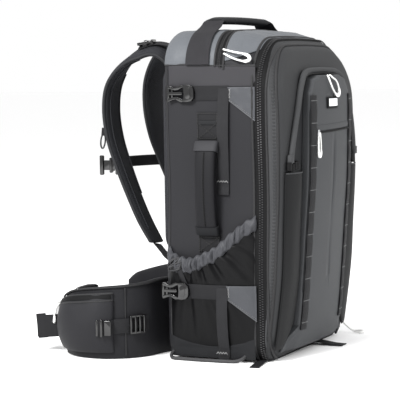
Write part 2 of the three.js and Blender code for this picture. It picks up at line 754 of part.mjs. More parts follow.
// The strap from the buckle forwards to the wing
function strapAcross(side, { up, buckleBack, on }) {
  const cloth = clothUnder(on);
  const start = buckleBack * backDepth - buckleLength - 2 * contactGap;
  const end = -0.36 * backDepth;
  const z = up * bodyHeight;
  const place = (u, v, lift) => {
    const y = start + (end - start) * u;
    return on(side, y, z + (v - 0.5) * webbingWidth, lift + cloth);
  };
  return sheet(place, 5, 1, seatGap, webbingThickness);
}

// Its free tail, which hangs down from the wing
function strapTail(side, { up, tail, on }) {
  const cloth = clothUnder(on);
  const top = up * bodyHeight + webbingWidth * 0.35;
  const low = Math.max(tail * bodyHeight, 2 * floorGap);
  const place = (u, v, lift) => {
    const z = top + (low - top) * u;
    const middle = (-0.255 - 0.05 * (1 - u)) * backDepth;
    const over = on(side, middle, Math.max(z, pocketBase), 0);
    const flat = Math.max(Math.abs(over.x), sideX(middle, z));
    const away = 2.5 * Math.sin(Math.PI * u);
    return new THREE.Vector3(side * (flat + cloth + lift + away), middle + (v - 0.5) * tailWidth, z);
  };
  return sheet(place, 10, 1, 2 * seatGap + wingWall, webbingThickness);
}

function compressionStrap(side, set) {
  return join(strapAcross(side, set), strapTail(side, set));
}

function compressionWing(side, { up, wing, on }) {
  const cloth = clothUnder(on);
  const back = -0.38 * backDepth;
  const front = pocketFront;
  const place = (u, v, lift) => {
    const y = back + (front - back) * u;
    const high = wing.top * bodyHeight;
    const lowBack = up * bodyHeight - webbingWidth * 0.42;
    const low = lowBack + (wing.low * bodyHeight - lowBack) * u;
    return on(side, y, low + (high - low) * v, lift + cloth);
  };
  return sheet(place, 4, 2, 0.8 * seatGap, wingWall);
}

// Side handle: a padded grip that bows outwards between two sewn patches
const sideHandle = { y: 0.03, low: 0.386, high: 0.675, patch: 0.085 };

function sideHandlePatch(end) {
  const { low, high, patch } = sideHandle;
  const start = end > 0 ? high * bodyHeight + seatGap : low * bodyHeight - seatGap;
  const stop = start + end * patch * bodyHeight * (end > 0 ? 1 : 0.6);
  const middle = sideHandle.y * backDepth;
  const place = (u, v, lift) => onSide(-1, middle + (v - 0.5) * sideGripWidth, start + (stop - start) * u, lift);
  return sheet(place, 3, 1, seatGap, 1.5 * clothWall);
}

function sideHandleGrip() {
  const { low, high } = sideHandle;
  const stations = [];
  const count = 10;
  for (let i = 0; i <= count; i += 1) {
    const share = i / count;
    const z = (low + (high - low) * share) * bodyHeight;
    const bow = Math.sin(Math.PI * share) ** 0.6;
    const thickness = 5 + (sideGripThickness - 5) * Math.min(1, 2 * bow);
    stations.push({
      point: onSide(-1, sideHandle.y * backDepth, z, 4 + 17 * bow),
      across: new THREE.Vector3(0, 1, 0),
      width: sideGripWidth * (1 - 0.06 * bow),
      thickness,
    });
  }
  return band(stations, 8, 3.2);
}

// Haul handle: webbing from each upper side seam over the corner, and a padded grip between
function haulWebbing(side) {
  const seam = upperSideStep(-1);
  const stations = [];
  const width = haulWidth;
  const across = new THREE.Vector3(0, 1, 0);
  for (const step of [0, 1, 2, 3, 4]) {
    const point = roundBag(seam + step, haulY, clothWall + webbingThickness + seatGap);
    stations.push({ point, across, width, thickness: 1.5 * webbingThickness });
  }
  const rise = haulHeight - (bodyHeight + topCrown);
  for (const { x, up } of [{ x: 1.1, up: 0.45 }, { x: 1.02, up: 0.85 }]) {
    const point = new THREE.Vector3(-x * haulSpan / 2 - 6, haulY, haulHeight - rise * (1 - up));
    stations.push({ point, across, width, thickness: 1.5 * webbingThickness });
  }
  stations.push({
    point: new THREE.Vector3(-haulSpan / 2 - 2 * seatGap, haulY, haulHeight),
    across,
    width,
    thickness: 1.5 * webbingThickness,
  });
  for (const station of stations) station.point.x *= -side;
  return band(stations, 4, 1);
}

function haulGrip() {
  const stations = [];
  const count = 8;
  for (let i = 0; i <= count; i += 1) {
    const share = i / count;
    const taper = Math.min(1, 0.45 + 3 * Math.sin(Math.PI * share));
    stations.push({
      point: new THREE.Vector3((share - 0.5) * haulSpan, haulY, haulHeight),
      across: new THREE.Vector3(0, 1, 0),
      width: haulWidth * 0.85,
      thickness: gripThickness * taper,
    });
  }
  return band(stations, 8, 2.6);
}

// Back pads between the bag and the wearer: a tall pad with rounded edges, and a lumbar pad
function pad(halfWidth, low, high, back, thickness) {
  const ring = (inset, y) => {
    const points = [];
    const radius = Math.max(28 - inset, 5);
    const centres = [
      [halfWidth - inset - radius, low + inset + radius, -0.5],
      [halfWidth - inset - radius, high - inset - radius, 0],
      [-(halfWidth - inset - radius), high - inset - radius, 0.5],
      [-(halfWidth - inset - radius), low + inset + radius, 1],
    ];
    for (const [x, z, start] of centres) {
      for (let k = 0; k <= 4; k += 1) {
        const turn = (start + k / 8) * Math.PI;
        points.push(new THREE.Vector3(x + radius * Math.cos(turn), y, z + radius * Math.sin(turn)));
      }
    }
    return points;
  };
  return loft([
    ring(3, back), ring(0, back + 0.3 * thickness), ring(1, back + 0.7 * thickness),
    ring(7, back + 0.94 * thickness), ring(16, back + thickness),
  ]);
}

// Shoulder straps: curved padded straps that stand out from the back
function strapStations(side) {
  return strapSections.map(({ out, up, across, width, thick, lean, drop }) => ({
    point: new THREE.Vector3(side * across * bodyWidth, out * strapReach, up * bodyHeight),
    across: new THREE.Vector3(side, -lean, -drop),
    width: width * strapWidth,
    thickness: thick * strapThickness,
  }));
}

function shoulderStrap(side) {
  const sections = strapStations(side);
  const path = new THREE.CatmullRomCurve3(sections.map(({ point }) => point), false, 'centripetal');
  const count = 18;
  const last = sections.length - 1;
  const stations = [];
  for (let i = 0; i <= count; i += 1) {
    const at = (i / count) * last;
    const k = Math.min(Math.floor(at), last - 1);
    const mix = at - k;
    stations.push({
      point: path.getPoint(i / count),
      across: sections[k].across.clone().lerp(sections[k + 1].across, mix),
      width: THREE.MathUtils.lerp(sections[k].width, sections[k + 1].width, mix),
      thickness: THREE.MathUtils.lerp(sections[k].thickness, sections[k + 1].thickness, mix),
    });
  }
  return band(stations, 8, 3.4);
}

const sideways = new THREE.Vector3(1, 0, 0);
const upwards = new THREE.Vector3(0, 0, 1);

// Webbing from the strap's lower end to the bag's lower corner
function lowerWebbing(side) {
  const end = strapStations(side)[strapSections.length - 1];
  const sag = 3.6;
  const start = end.point.clone().add(new THREE.Vector3(0, -sag / 2, -sag));
  const x = side * 0.37 * bodyWidth;
  const low = new THREE.Vector3(x, backFace + 2 * webbingThickness, wingHeight + webbingWidth);
  const sewn = new THREE.Vector3(x, backFace + webbingThickness / 2, wingHeight + webbingThickness);
  const middle = start.clone().lerp(low, 0.5).add(new THREE.Vector3(0, -sag, -sag));
  return strap([start, middle, low, sewn], sideways, tailWidth);
}

// Load lifter webbing from the bag's upper back edge to the top of the strap
function loadLifter(side) {
  const sections = strapStations(side);
  const over = (row, rise) => ({
    point: sections[row].point.clone()
      .add(new THREE.Vector3(0, 0, strapThickness / 2 + webbingThickness / 2 + rise)),
    across: sections[row].across,
    width: tailWidth,
    thickness: webbingThickness,
  });
  const seam = { across: 0.18 * bodyWidth, up: 0.95 * bodyHeight };
  const start = {
    point: new THREE.Vector3(side * seam.across, backFace + webbingThickness / 2, seam.up),
    across: sideways.clone().multiplyScalar(side),
    width: tailWidth,
    thickness: webbingThickness,
  };
  return band([start, over(2, 3), over(3, 3.8)], 4, 1);
}

// Sternum strap across both shoulder straps, bowed outwards, with its buckle
const sternum = { row: 8, up: strapSections[8].up, bow: 34, off: 5.5, buckleThickness: 6 };

function sternumPoint(share) {
  const at = strapStations(1)[sternum.row];
  const y = at.point.y + strapThickness / 2 + sternum.off + sternum.bow * (1 - share * share);
  return new THREE.Vector3(share * at.point.x, y, sternum.up * bodyHeight);
}

function sternumWebbing() {
  const points = [-1, -0.7, -0.35, 0, 0.35, 0.7, 1].map((share) => sternumPoint(share));
  return strap(points, upwards, tailWidth);
}

function sternumBuckle() {
  const lift = (webbingThickness + sternum.buckleThickness) / 2 + 4 * contactGap;
  const stations = [-0.62, -0.5, -0.2, -0.1].map((share, i) => ({
    point: sternumPoint(share).add(new THREE.Vector3(0, lift, 0)),
    across: upwards,
    width: (i < 2 ? 1.35 : 1.2) * tailWidth,
    thickness: sternum.buckleThickness,
  }));
  return band(stations, 4, 1);
}

// Hip belt wings, the pocket on the left wing, and the webbing and buckle at each tip
function wingPoint(side, share, push = 0) {
  const rows = wingSections[side < 0 ? 'left' : 'right'];
  const at = THREE.MathUtils.clamp(share, 0, 1) * (rows.length - 1);
  const table = rows.map((row, i) => ({ ...row, i }));
  const read = (key, where) => readTable(table, 'i', key, where) * wingLength;
  const here = new THREE.Vector2(read('side', at), read('back', at));
  const step = 0.05;
  const ahead = new THREE.Vector2(read('side', at + step), read('back', at + step));
  const behind = new THREE.Vector2(read('side', at - step), read('back', at - step));
  const along = ahead.sub(behind).normalize();
  const out = new THREE.Vector2(along.y, -along.x);
  here.addScaledVector(out, push);
  const height = readTable(table, 'i', 'top', at) * wingHeight;
  return { x: side * here.x, y: here.y, height };
}

// Height of the webbing at a wing's tip, and the stretch of the wing that the pocket covers (shares
// of its length and height)
const hipStrapUp = 0.42 * wingHeight;
const hipPocketSpan = { from: 0.5, to: 0.96, low: 0.1, high: 0.92 };

function hipWing(side) {
  const rings = [];
  const count = 14;
  for (let i = 0; i <= count; i += 1) {
    const share = i / count;
    const thick = wingThickness * (share < 0.1 || share > 0.95 ? 0.5 : 1);
    const cut = share > 0.95 ? 0.1 : 0;
    const section = [
      [-0.5, 0.06], [-0.5, 0.3], [-0.5, 0.7], [-0.5, 0.94], [-0.25, 1], [0.25, 1],
      [0.5, 0.94], [0.5, 0.7], [0.5, 0.3], [0.5, 0.06], [0.25, 0], [-0.25, 0],
    ];
    rings.push(section.map(([across, up]) => {
      const { x, y, height } = wingPoint(side, share, across * thick);
      const trimmed = cut + up * (1 - 2 * cut);
      return new THREE.Vector3(x, y, floorGap + trimmed * (height - floorGap));
    }));
  }
  return loft(rings);
}

function hipPocket() {
  const place = (u, v, lift) => {
    const share = hipPocketSpan.from + (hipPocketSpan.to - hipPocketSpan.from) * u;
    const swell = hipPocketBulge * Math.sin(Math.PI * u) ** 0.5 * Math.sin(Math.PI * v) ** 0.6;
    const { x, y, height } = wingPoint(-1, share, wingThickness / 2 + lift + swell);
    return new THREE.Vector3(x, y, height * (hipPocketSpan.low + (hipPocketSpan.high - hipPocketSpan.low) * v));
  };
  return sheet(place, 12, 6, 2 * contactGap, clothWall);
}

function hipWebbing(side) {
  const start = wingPoint(side, 1);
  const before = wingPoint(side, 0.93);
  const along = new THREE.Vector3(start.x - before.x, start.y - before.y, 0).normalize();
  const points = [2 * floorGap / hipStrapLength, 0.27, 0.63, 1].map((share) => (
    new THREE.Vector3(start.x, start.y, hipStrapUp).addScaledVector(along, share * hipStrapLength)));
  return strap(points, upwards, 1.5 * webbingWidth);
}

function hipBuckle(side) {
  const start = wingPoint(side, 1);
  const before = wingPoint(side, 0.93);
  const along = new THREE.Vector3(start.x - before.x, start.y - before.y, 0).normalize();
  const near = new THREE.Vector3(start.x, start.y, hipStrapUp)
    .addScaledVector(along, hipStrapLength + seatGap);
  const stations = [[0, 0.92], [0.13, 1], [0.43, 1], [0.87, 0.8], [1, 0.6]].map(([share, high]) => ({
    point: near.clone().addScaledVector(along, share * hipBuckleLength),
    across: upwards,
    width: high * hipBuckleHeight,
    thickness: 1.1 * buckleThickness,
  }));
  return band(stations, 4, 1);
}

// Bare name plate on the centre panel
function badge() {
  const place = (u, v, lift) => panelFront((u - 0.5) * 50, 0.9 * panelHeight + (v - 0.5) * 20, lift);
  return sheet(place, 2, 1, seatGap, clothWall);
}

// Webbing loop at the front's lower edge, where the lid rounds under. It lies on the floor.
const frontLoop = { across: 42, reach: 53 };
const lidLowerRound = 1.6;

function baseLoop() {
  const { across, reach } = frontLoop;
  const seam = lidFront(across, 3 * webbingThickness, -lidLowerRound).y;
  const points = [
    new THREE.Vector3(across, seam, 3 * webbingThickness),
    new THREE.Vector3(across, seam - 0.25 * reach, 2.5 * webbingThickness),
    new THREE.Vector3(across, seam - 0.65 * reach, 1.1 * webbingThickness),
    new THREE.Vector3(across, seam - reach, 0.8 * webbingThickness),
  ];
  return strap(points, sideways, webbingWidth);
}

// Cord loop along the left side's lower edge, lying on the floor
const baseCordRoute = [
  [-172, 72, 14], [-178, 74, 12], [-184, 75, 8], [-190, 72, 4.5], [-194, 64, 3.4], [-195, 50, 3.4],
  [-196, 30, 3.4], [-196, 8, 3.4], [-195, -14, 3.4], [-194, -34, 3.4], [-191, -46, 3.6],
  [-187, -54, 5], [-182, -59, 8], [-178, -61, 11], [-174, -62, 14],
];

// Cord pulls, each a loop from its zip's slider and back
const pullRoutes = {
  top_pull: [
    [-171.6, -25, 530], [-175, -32, 528.5], [-178.3, -48, 525], [-178.8, -64, 522], [-179, -74, 518],
    [-179.2, -76, 513], [-179.4, -70, 509.5], [-179.6, -54, 512], [-178.6, -38, 518], [-176.6, -28, 523],
  ],
  centre_pull: [
    [-24, -155.9, 483.6], [-27, -159.2, 479], [-24, -161.5, 470], [-14, -162.8, 458], [-2, -163.6, 450],
    [9, -163.4, 448], [15, -162.8, 454], [13, -162, 464], [4, -161.2, 474], [-8, -159, 479.5], [-14, -156.2, 484],
  ],
  slit_pull: [
    [-74, -157.6, 386], [-77.5, -158.8, 374], [-78, -158.9, 360], [-76.5, -158.9, 350], [-73, -159, 345],
    [-69.5, -159.2, 350], [-68, -159.3, 360], [-69, -159.3, 374], [-71, -159, 386],
  ],
  right_pull: [
    [180.1, -95, 34], [182.6, -101, 26], [186, -109, 15], [188, -118, 6], [190, -130, 2.2],
    [188, -141, 2], [182.5, -145, 2], [178, -139, 2.2], [178.5, -126, 5], [180.5, -112, 14],
    [182, -102, 24],
  ],
  hip_pull: [
    [-196.6, 284.2, 93.5], [-201.6, 289.6, 89], [-205, 293.5, 78], [-205, 294, 64], [-203, 295.5, 57],
    [-200, 297.5, 55], [-197, 298, 59], [-196, 297, 70], [-195.5, 294.5, 81], [-193.8, 287.4, 88.5],
  ],
};

const toPoints = (route) => route.map(([x, y, z]) => new THREE.Vector3(x, y, z));

addPiece('main_body', mainBody(), 'cloth');
addPiece('front_lid', frontLid(), 'cloth');
addPiece('centre_panel', centrePanel(), 'panelCloth');
addPiece('arch_gusset', archGusset(), 'darkCloth');
addPiece('arch_zip', archZip(), 'zip');
addPiece('badge_plate', badge(), 'plate');
addPiece('main_zip', roundBand(lowerCornerStep(-1), lowerCornerStep(1), mainZipEdges), 'zip');
addPiece('top_zip', roundBand(upperSideStep(-1), upperSideStep(1), topZipEdges), 'zip');
addPiece('top_wedge', roundBand(upperSideStep(-1) + 1, upperSideStep(1) - 1, wedgeEdges), 'lightCloth');
addPiece('top_panel', roundBand(upperSideStep(-1), upperSideStep(1), topPanelEdges), 'lightCloth');
for (const [name, side] of [['left', -1], ['right', 1]]) {
  addPiece(`daisy_webbing_${name}`, daisyWebbing(side), 'webbing');
  addPiece(`front_pocket_${name}`, frontPocket(side), 'darkCloth');
  addPiece(`side_pocket_${name}`, sidePocket(side), 'darkCloth');
  addPiece(`pocket_hem_${name}`, pocketHem(side), 'lightCloth');
  for (const [level, set] of Object.entries(compression)) {
    addPiece(`${level}_buckle_${name}`, buckle(side, set), 'plastic');
    addPiece(`${level}_strap_${name}`, compressionStrap(side, set), 'webbing');
    addPiece(`${level}_wing_${name}`, compressionWing(side, set), 'lightCloth');
  }
  addPiece(`haul_webbing_${name}`, haulWebbing(side), 'webbing');
  addPiece(`shoulder_strap_${name}`, shoulderStrap(side), 'mesh');
  addPiece(`load_lifter_${name}`, loadLifter(side), 'webbing');
  addPiece(`lower_webbing_${name}`, lowerWebbing(side), 'webbing');
  addPiece(`hip_wing_${name}`, hipWing(side), 'darkCloth');
  addPiece(`hip_webbing_${name}`, hipWebbing(side), 'webbing');
  addPiece(`hip_buckle_${name}`, hipBuckle(side), 'plastic');
}
addPiece('haul_grip', haulGrip(), 'darkCloth');
addPiece('side_grip', sideHandleGrip(), 'cloth');
addPiece('side_grip_patch_top', sideHandlePatch(1), 'webbing');
addPiece('side_grip_patch_bottom', sideHandlePatch(-1), 'webbing');
addPiece('back_pad', pad(backPad.halfWidth, backPad.low, backPad.high, backFace, padThickness), 'mesh');
addPiece('lumbar_pad', pad(lumbarPad.halfWidth, lumbarPad.low, lumbarPad.high, backFace, 1.5 * padThickness), 'mesh');
addPiece('sternum_webbing', sternumWebbing(), 'webbing');
addPiece('sternum_buckle', sternumBuckle(), 'plastic');
addPiece('hip_pocket', hipPocket(), 'cloth');
addPiece('base_loop', baseLoop(), 'webbing');
addPiece('side_cord', cord(toPoints(baseCordRoute), baseCordDiameter), 'webbing');

for (const [name, route] of Object.entries(pullRoutes)) {
  addPiece(name, cord(toPoints(route), pullDiameter), 'cord');
}

export default backpack;
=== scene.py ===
# %% [markdown]
# A camera backpack, dressed over its CAD frame. This file is a lesson in short cells: each piece is
# first described as it is on the real bag, then made. All sizes are in millimetres until a mesh is
# written; Blender's own unit here is the metre. +Z is up, the front faces -Y, the wearer's side +Y.

# %% Load the frame
import math
import bmesh
import bpy
import numpy as np
from mathutils import Matrix, Vector


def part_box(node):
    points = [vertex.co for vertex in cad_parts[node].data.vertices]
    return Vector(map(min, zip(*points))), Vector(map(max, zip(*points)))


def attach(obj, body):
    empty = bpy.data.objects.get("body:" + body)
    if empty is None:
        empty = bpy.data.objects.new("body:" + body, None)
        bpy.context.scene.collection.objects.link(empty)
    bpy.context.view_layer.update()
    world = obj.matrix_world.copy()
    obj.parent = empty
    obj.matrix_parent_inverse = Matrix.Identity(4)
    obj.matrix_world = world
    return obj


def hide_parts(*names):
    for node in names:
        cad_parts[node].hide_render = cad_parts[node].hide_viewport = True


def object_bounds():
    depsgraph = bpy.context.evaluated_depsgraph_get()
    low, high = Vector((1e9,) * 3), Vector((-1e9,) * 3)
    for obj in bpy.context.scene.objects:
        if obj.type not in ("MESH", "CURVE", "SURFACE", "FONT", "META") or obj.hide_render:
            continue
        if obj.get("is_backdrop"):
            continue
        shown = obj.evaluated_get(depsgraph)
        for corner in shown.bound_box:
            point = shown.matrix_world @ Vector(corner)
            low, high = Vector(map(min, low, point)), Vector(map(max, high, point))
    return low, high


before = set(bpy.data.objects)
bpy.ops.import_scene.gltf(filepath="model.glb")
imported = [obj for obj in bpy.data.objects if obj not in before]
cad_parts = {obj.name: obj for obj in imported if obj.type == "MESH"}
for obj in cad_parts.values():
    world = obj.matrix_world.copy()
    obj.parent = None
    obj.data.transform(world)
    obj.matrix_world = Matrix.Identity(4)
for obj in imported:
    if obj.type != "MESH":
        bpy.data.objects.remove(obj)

MM = 0.001
BODY = "root"
cad_low, cad_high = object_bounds()


def new_object(name, data):
    linked = bpy.data.objects.new(name, data)
    bpy.context.collection.objects.link(linked)
    return linked


print("CAD box in mm:", [round(v / MM) for v in (*cad_low, *cad_high)])

# %% [markdown]
# The camera stands low and to the left of the bag, with a long lens, as for a catalogue picture. Its
# place comes from known points of the bag: the corners of the base, the buckles and the zip's end.

# %% Camera
PICTURE_WIDTH, FOCAL_PIXELS, SENSOR = 400, 1650, 36
turn, rise, roll = math.radians(-65), math.atan(132 / FOCAL_PIXELS), math.radians(-0.85)
back = Vector((math.sin(turn) * math.cos(rise), -math.cos(turn) * math.cos(rise), math.sin(rise)))
right = Vector((math.cos(turn), math.sin(turn), 0))
up = back.cross(right)
camera_data = bpy.data.cameras.new("camera")
camera_data.sensor_width = SENSOR
camera_data.lens = SENSOR * FOCAL_PIXELS / PICTURE_WIDTH
camera = new_object("camera", camera_data)
camera.rotation_mode = "QUATERNION"
rolled_right = right * math.cos(roll) + up * math.sin(roll)
rolled_up = up * math.cos(roll) - right * math.sin(roll)
stand = (-2.7157, -1.1638, 0.4992)
camera.matrix_world = Matrix([[rolled_right[i], rolled_up[i], back[i], stand[i]] for i in range(3)] + [[0, 0, 0, 1]])
bpy.context.scene.camera = camera
print("camera stands at:", stand)

# %% [markdown]
# Every finish is procedural. Cloth is built from a weave of two crossing waves in the piece's own UV
# map, which is in metres, so a thread has its real width on every piece. Slow noise on Object
# coordinates varies the colour, as dye and handling do. One function turns the colours that a screen
# shows into the linear values that Blender wants.

# %% Colour and node helpers
STUDIO = 0.33  # the share of a pictured colour that is the cloth's own; the rest is the studio's light
WAVE = math.pi / 10  # a wave node at this scale has one wave to the unit


def linear(hex_colour, share=STUDIO):
    """A colour as a screen shows it, such as 3d3d40, in linear values."""
    parts = [int(hex_colour[i:i + 2], 16) / 255 for i in (0, 2, 4)]
    return [share * (p / 12.92 if p <= 0.04045 else ((p + 0.055) / 1.055) ** 2.4) for p in parts] + [1.0]


def add(tree, kind, settings=None, **inputs):
    """Adds a node. Settings are its properties; inputs are values, or sockets to link from."""
    node = tree.nodes.new(kind)
    for key, value in (settings or {}).items():
        setattr(node, key, value)
    for key, value in inputs.items():
        numbered = key[0] == "i" and key[1:].isdigit()
        socket = node.inputs[int(key[1:]) if numbered else key.replace("_", " ")]
        if isinstance(value, bpy.types.NodeSocket):
            tree.links.new(value, socket)
        else:
            socket.default_value = value
    return node


def calculate(tree, operation, *values):
    inputs = {f"i{k}": value for k, value in enumerate(values)}
    return add(tree, "ShaderNodeMath", {"operation": operation}, **inputs).outputs[0]


def ranged(tree, value, low, high, **given):
    return add(tree, "ShaderNodeMapRange", Value=value, To_Min=low, To_Max=high, **given).outputs[0]


def noise(tree, where, scale, detail=3.0, **given):
    return add(tree, "ShaderNodeTexNoise", Vector=where.outputs["Object"], Scale=scale, Detail=detail,
               **given).outputs["Fac"]


def waves(tree, uv, direction, pitch):
    """Bands with a pitch in mm, from 0 to 1."""
    return add(tree, "ShaderNodeTexWave", {"bands_direction": direction, "wave_profile": "SIN"}, Vector=uv,
               Scale=WAVE / (pitch * MM), Distortion=0.0).outputs["Fac"]


def weave(tree, uv, pitch):
    """Threads over and under: the higher of two crossing waves, from 0 to 1."""
    return calculate(tree, "MAXIMUM", waves(tree, uv, "X", pitch), waves(tree, uv, "Y", pitch))


def new_material(name, roughness, specular):
    """A material with its node tree, its shader and the texture coordinates."""
    material = bpy.data.materials.new(name)
    material.use_nodes = True
    tree = material.node_tree
    tree.nodes.clear()
    shader = add(tree, "ShaderNodeBsdfPrincipled", Roughness=roughness, Specular_IOR_Level=specular)
    add(tree, "ShaderNodeOutputMaterial", i0=shader.outputs[0])
    return material, tree, shader, tree.nodes.new("ShaderNodeTexCoord")


def tint(tree, shader, colour, tone):
    """Sets the shader's colour to one colour, made lighter or darker by a tone about 1."""
    mixed = add(tree, "ShaderNodeMix", {"data_type": "RGBA", "blend_type": "MULTIPLY"}, i0=1.0, i6=colour, i7=tone)
    tree.links.new(mixed.outputs[2], shader.inputs["Base Color"])


def bumped(tree, shader, height, strength, distance, below=None):
    """Sets the shader's normal from a height, in mm, over another bump if there is one."""
    bump = add(tree, "ShaderNodeBump", Strength=strength, Distance=distance * MM, Height=height)
    if below:
        tree.links.new(below, bump.inputs["Normal"])
    tree.links.new(bump.outputs[0], shader.inputs["Normal"])
    return bump.outputs[0]

# %% Cloth finish
def cloth(name, colour, pitch=0.8, depth=0.2, roughness=0.6, ripstop=0.0, crease=0.0):
    """Woven cloth. Pitch is a thread's width in mm, ripstop the spacing of its thicker threads."""
    material, tree, shader, where = new_material(name, roughness, 0.15)
    height = weave(tree, where.outputs["UV"], pitch)
    vary, grain, weave_shade = 0.14, 0.3, 0.18
    tone = calculate(tree, "MULTIPLY_ADD", noise(tree, where, 14.0), vary, -vary / 2)
    tone = calculate(tree, "MULTIPLY_ADD", noise(tree, where, 900.0, 2.0), grain, tone)
    # Painted shade: the weave's hollows are darker than the threads' tops.
    tone = calculate(tree, "MULTIPLY_ADD", height, weave_shade, tone)
    tint(tree, shader, linear(colour), ranged(tree, tone, 0.8, 1.22, From_Min=-0.1, From_Max=0.6))
    if ripstop:
        sharp = calculate(tree, "POWER", weave(tree, where.outputs["UV"], ripstop), 24.0)
        height = calculate(tree, "MULTIPLY_ADD", sharp, 0.8, height)
    normal = bumped(tree, shader, height, min(1.0, depth * 2), depth * 0.4)
    if crease:
        bumped(tree, shader, noise(tree, where, 45.0, 4.0, Distortion=1.4), 0.55, crease, normal)
    return material


def pale_ripstop(name, colour, crease):
    return cloth(name, colour, pitch=0.6, depth=0.15, roughness=0.5, ripstop=5.0, crease=crease)

# %% [markdown]
# Webbing is woven in ribs that run across it, with a flat edge on each side; spacer mesh is a net of
# small round holes over foam; moulded plastic is smooth with a faint grain; a zip's tape is cloth and
# its coil is nylon.

# %% Webbing, mesh, plastic and the small finishes
def webbing_finish(name, colour, rib=1.4):
    material, tree, shader, where = new_material(name, 0.62, 0.15)
    uv = where.outputs["UV"]
    tint(tree, shader, linear(colour), ranged(tree, noise(tree, where, 60.0), 0.82, 1.2))
    ribs = calculate(tree, "MULTIPLY_ADD", waves(tree, uv, "DIAGONAL", rib / 2), 0.7, weave(tree, uv, 0.7))
    bumped(tree, shader, ribs, 0.6, 0.25)
    return material


def mesh_finish(name, colour, hole_shade="141416", pitch=3.2):
    """Spacer mesh: rows of holes, lower than the net between them and darker with painted shade."""
    material, tree, shader, where = new_material(name, 0.85, 0.1)
    cells = add(tree, "ShaderNodeTexVoronoi", {"feature": "F1"}, Vector=where.outputs["UV"], Scale=1 / (pitch * MM),
                Randomness=0.15)
    net = ranged(tree, cells.outputs["Distance"], 0.0, 1.0, From_Min=0.18, From_Max=0.42)
    # The holes' near-black colour is painted shade in them.
    mixed = add(tree, "ShaderNodeMix", {"data_type": "RGBA"}, i0=net, i6=linear(hole_shade), i7=linear(colour))
    tint(tree, shader, mixed.outputs[2], ranged(tree, noise(tree, where, 20.0), 0.8, 1.2))
    bumped(tree, shader, net, 0.8, 0.6)
    return material


def smooth_finish(name, colour, roughness=0.6, grain=260.0, depth=0.05, vary=0.1, share=STUDIO, specular=0.5,
                  metallic=0.0):
    """Moulded, drawn or braided goods: a plain colour with a fine grain."""
    material, tree, shader, where = new_material(name, roughness, specular)
    shader.inputs["Metallic"].default_value = metallic
    speck = noise(tree, where, grain)
    tint(tree, shader, linear(colour, share), ranged(tree, speck, 1 - vary, 1 + vary))
    bumped(tree, shader, speck, 0.5, depth)
    tree.links.new(ranged(tree, speck, roughness * 0.8, roughness * 1.2), shader.inputs["Roughness"])
    return material


def braid_finish(name, colour, share=STUDIO):
    """A braided cord: two sets of threads that cross on the slant."""
    material, tree, shader, where = new_material(name, 0.6, 0.5)
    turned = add(tree, "ShaderNodeMapping", Vector=where.outputs["UV"], Rotation=(0, 0, math.radians(45)))
    threads = weave(tree, turned.outputs[0], 0.7)
    # Painted shade: darker where the threads dip between their crossings.
    tint(tree, shader, linear(colour, share), ranged(tree, threads, 0.82, 1.05))
    bumped(tree, shader, threads, 0.6, 0.2)
    return material

# %% The bag's finishes
side_cloth = cloth("side cloth", "39393d")
yoke_cloth = cloth("yoke cloth", "515054")
front_cloth = cloth("front cloth", "4a4b4d", pitch=0.7, depth=0.18)
gusset_cloth = cloth("gusset cloth", "5c5d5f", pitch=0.9, depth=0.25, roughness=0.65)
dark_cloth = cloth("dark cloth", "303134", roughness=0.7)
grip_cloth = cloth("grip cloth", "26262a")
collar_cloth = cloth("collar cloth", "4c4c50")
stretch_cloth = cloth("stretch cloth", "1d1e20", pitch=0.6, depth=0.15)
pocket_cloth = cloth("pocket cloth", "0c0c0f", pitch=0.6, depth=0.15, roughness=0.5)
light_cloth = pale_ripstop("light ripstop", "8a8e94", 2.8)
wing_cloth = pale_ripstop("wing ripstop", "6a6c71", 1.4)
hem_cloth = pale_ripstop("hem ripstop", "626368", 2.2)
panel_cloth = cloth("panel cloth", "5f6164", pitch=0.7, roughness=0.55)
pad_mesh = mesh_finish("spacer mesh", "55565b")
strap_cloth = cloth("strap binding", "3c3d40")
belt_cloth = cloth("belt cloth", "303034")
webbing = webbing_finish("webbing", "313134")
haul_webbing_finish = webbing_finish("haul webbing", "403f43")
tail_webbing = webbing_finish("tail webbing", "3a3a3d", rib=1.1)
piping = smooth_finish("piping", "232326", roughness=0.75, grain=400.0, depth=0.1)
light_piping = smooth_finish("light piping", "77797d", roughness=0.55, grain=400.0, depth=0.1)
# Near black: the zips' dark tape with painted shade of the gap it lies in, and painted shadow under the slit's fold.
shadow_tape = cloth("dark tape and painted shade", "141416", pitch=0.7, roughness=0.7)
coil = smooth_finish("zip coil", "2d2d30")
plastic = smooth_finish("buckle plastic", "0b0b0d", roughness=0.13, grain=220.0, depth=0.03, specular=0.7)
metal = smooth_finish("slider metal", "c9cacc", roughness=0.3, metallic=1.0, depth=0.02, share=1.0)
white_cord = braid_finish("white cord", "f2f2f0", share=0.9)
white_grip = smooth_finish("white moulded end", "f1f1ef", roughness=0.5, grain=300.0, vary=0.04, share=0.9)
grey_cord = braid_finish("grey cord", "4b4b4e")
tail_cord = braid_finish("drawcord", "414145")
white_thread, light_thread, patch_thread, dark_thread = (
    smooth_finish(f"{name} thread", colour, vary=0.15)
    for name, colour in (("white", "dcdcdc"), ("light", "8d8e90"), ("patch", "0c0c0d"), ("dark", "19191b")))
plate = smooth_finish("name plate", "e6e7e9", roughness=0.35, grain=600.0, metallic=0.3, vary=0.03, share=1.0)
print("finishes:", len(bpy.data.materials))

# %% [markdown]
# The bag's surfaces follow a few tables: how the outline changes from the back to the front, how far
# the lid and the panel lean out, and how the sides swell. They are the frame's own tables, so a skin
# of cloth lies where its solid is. Reading a table with a smooth curve keeps the cloth free of kinks.

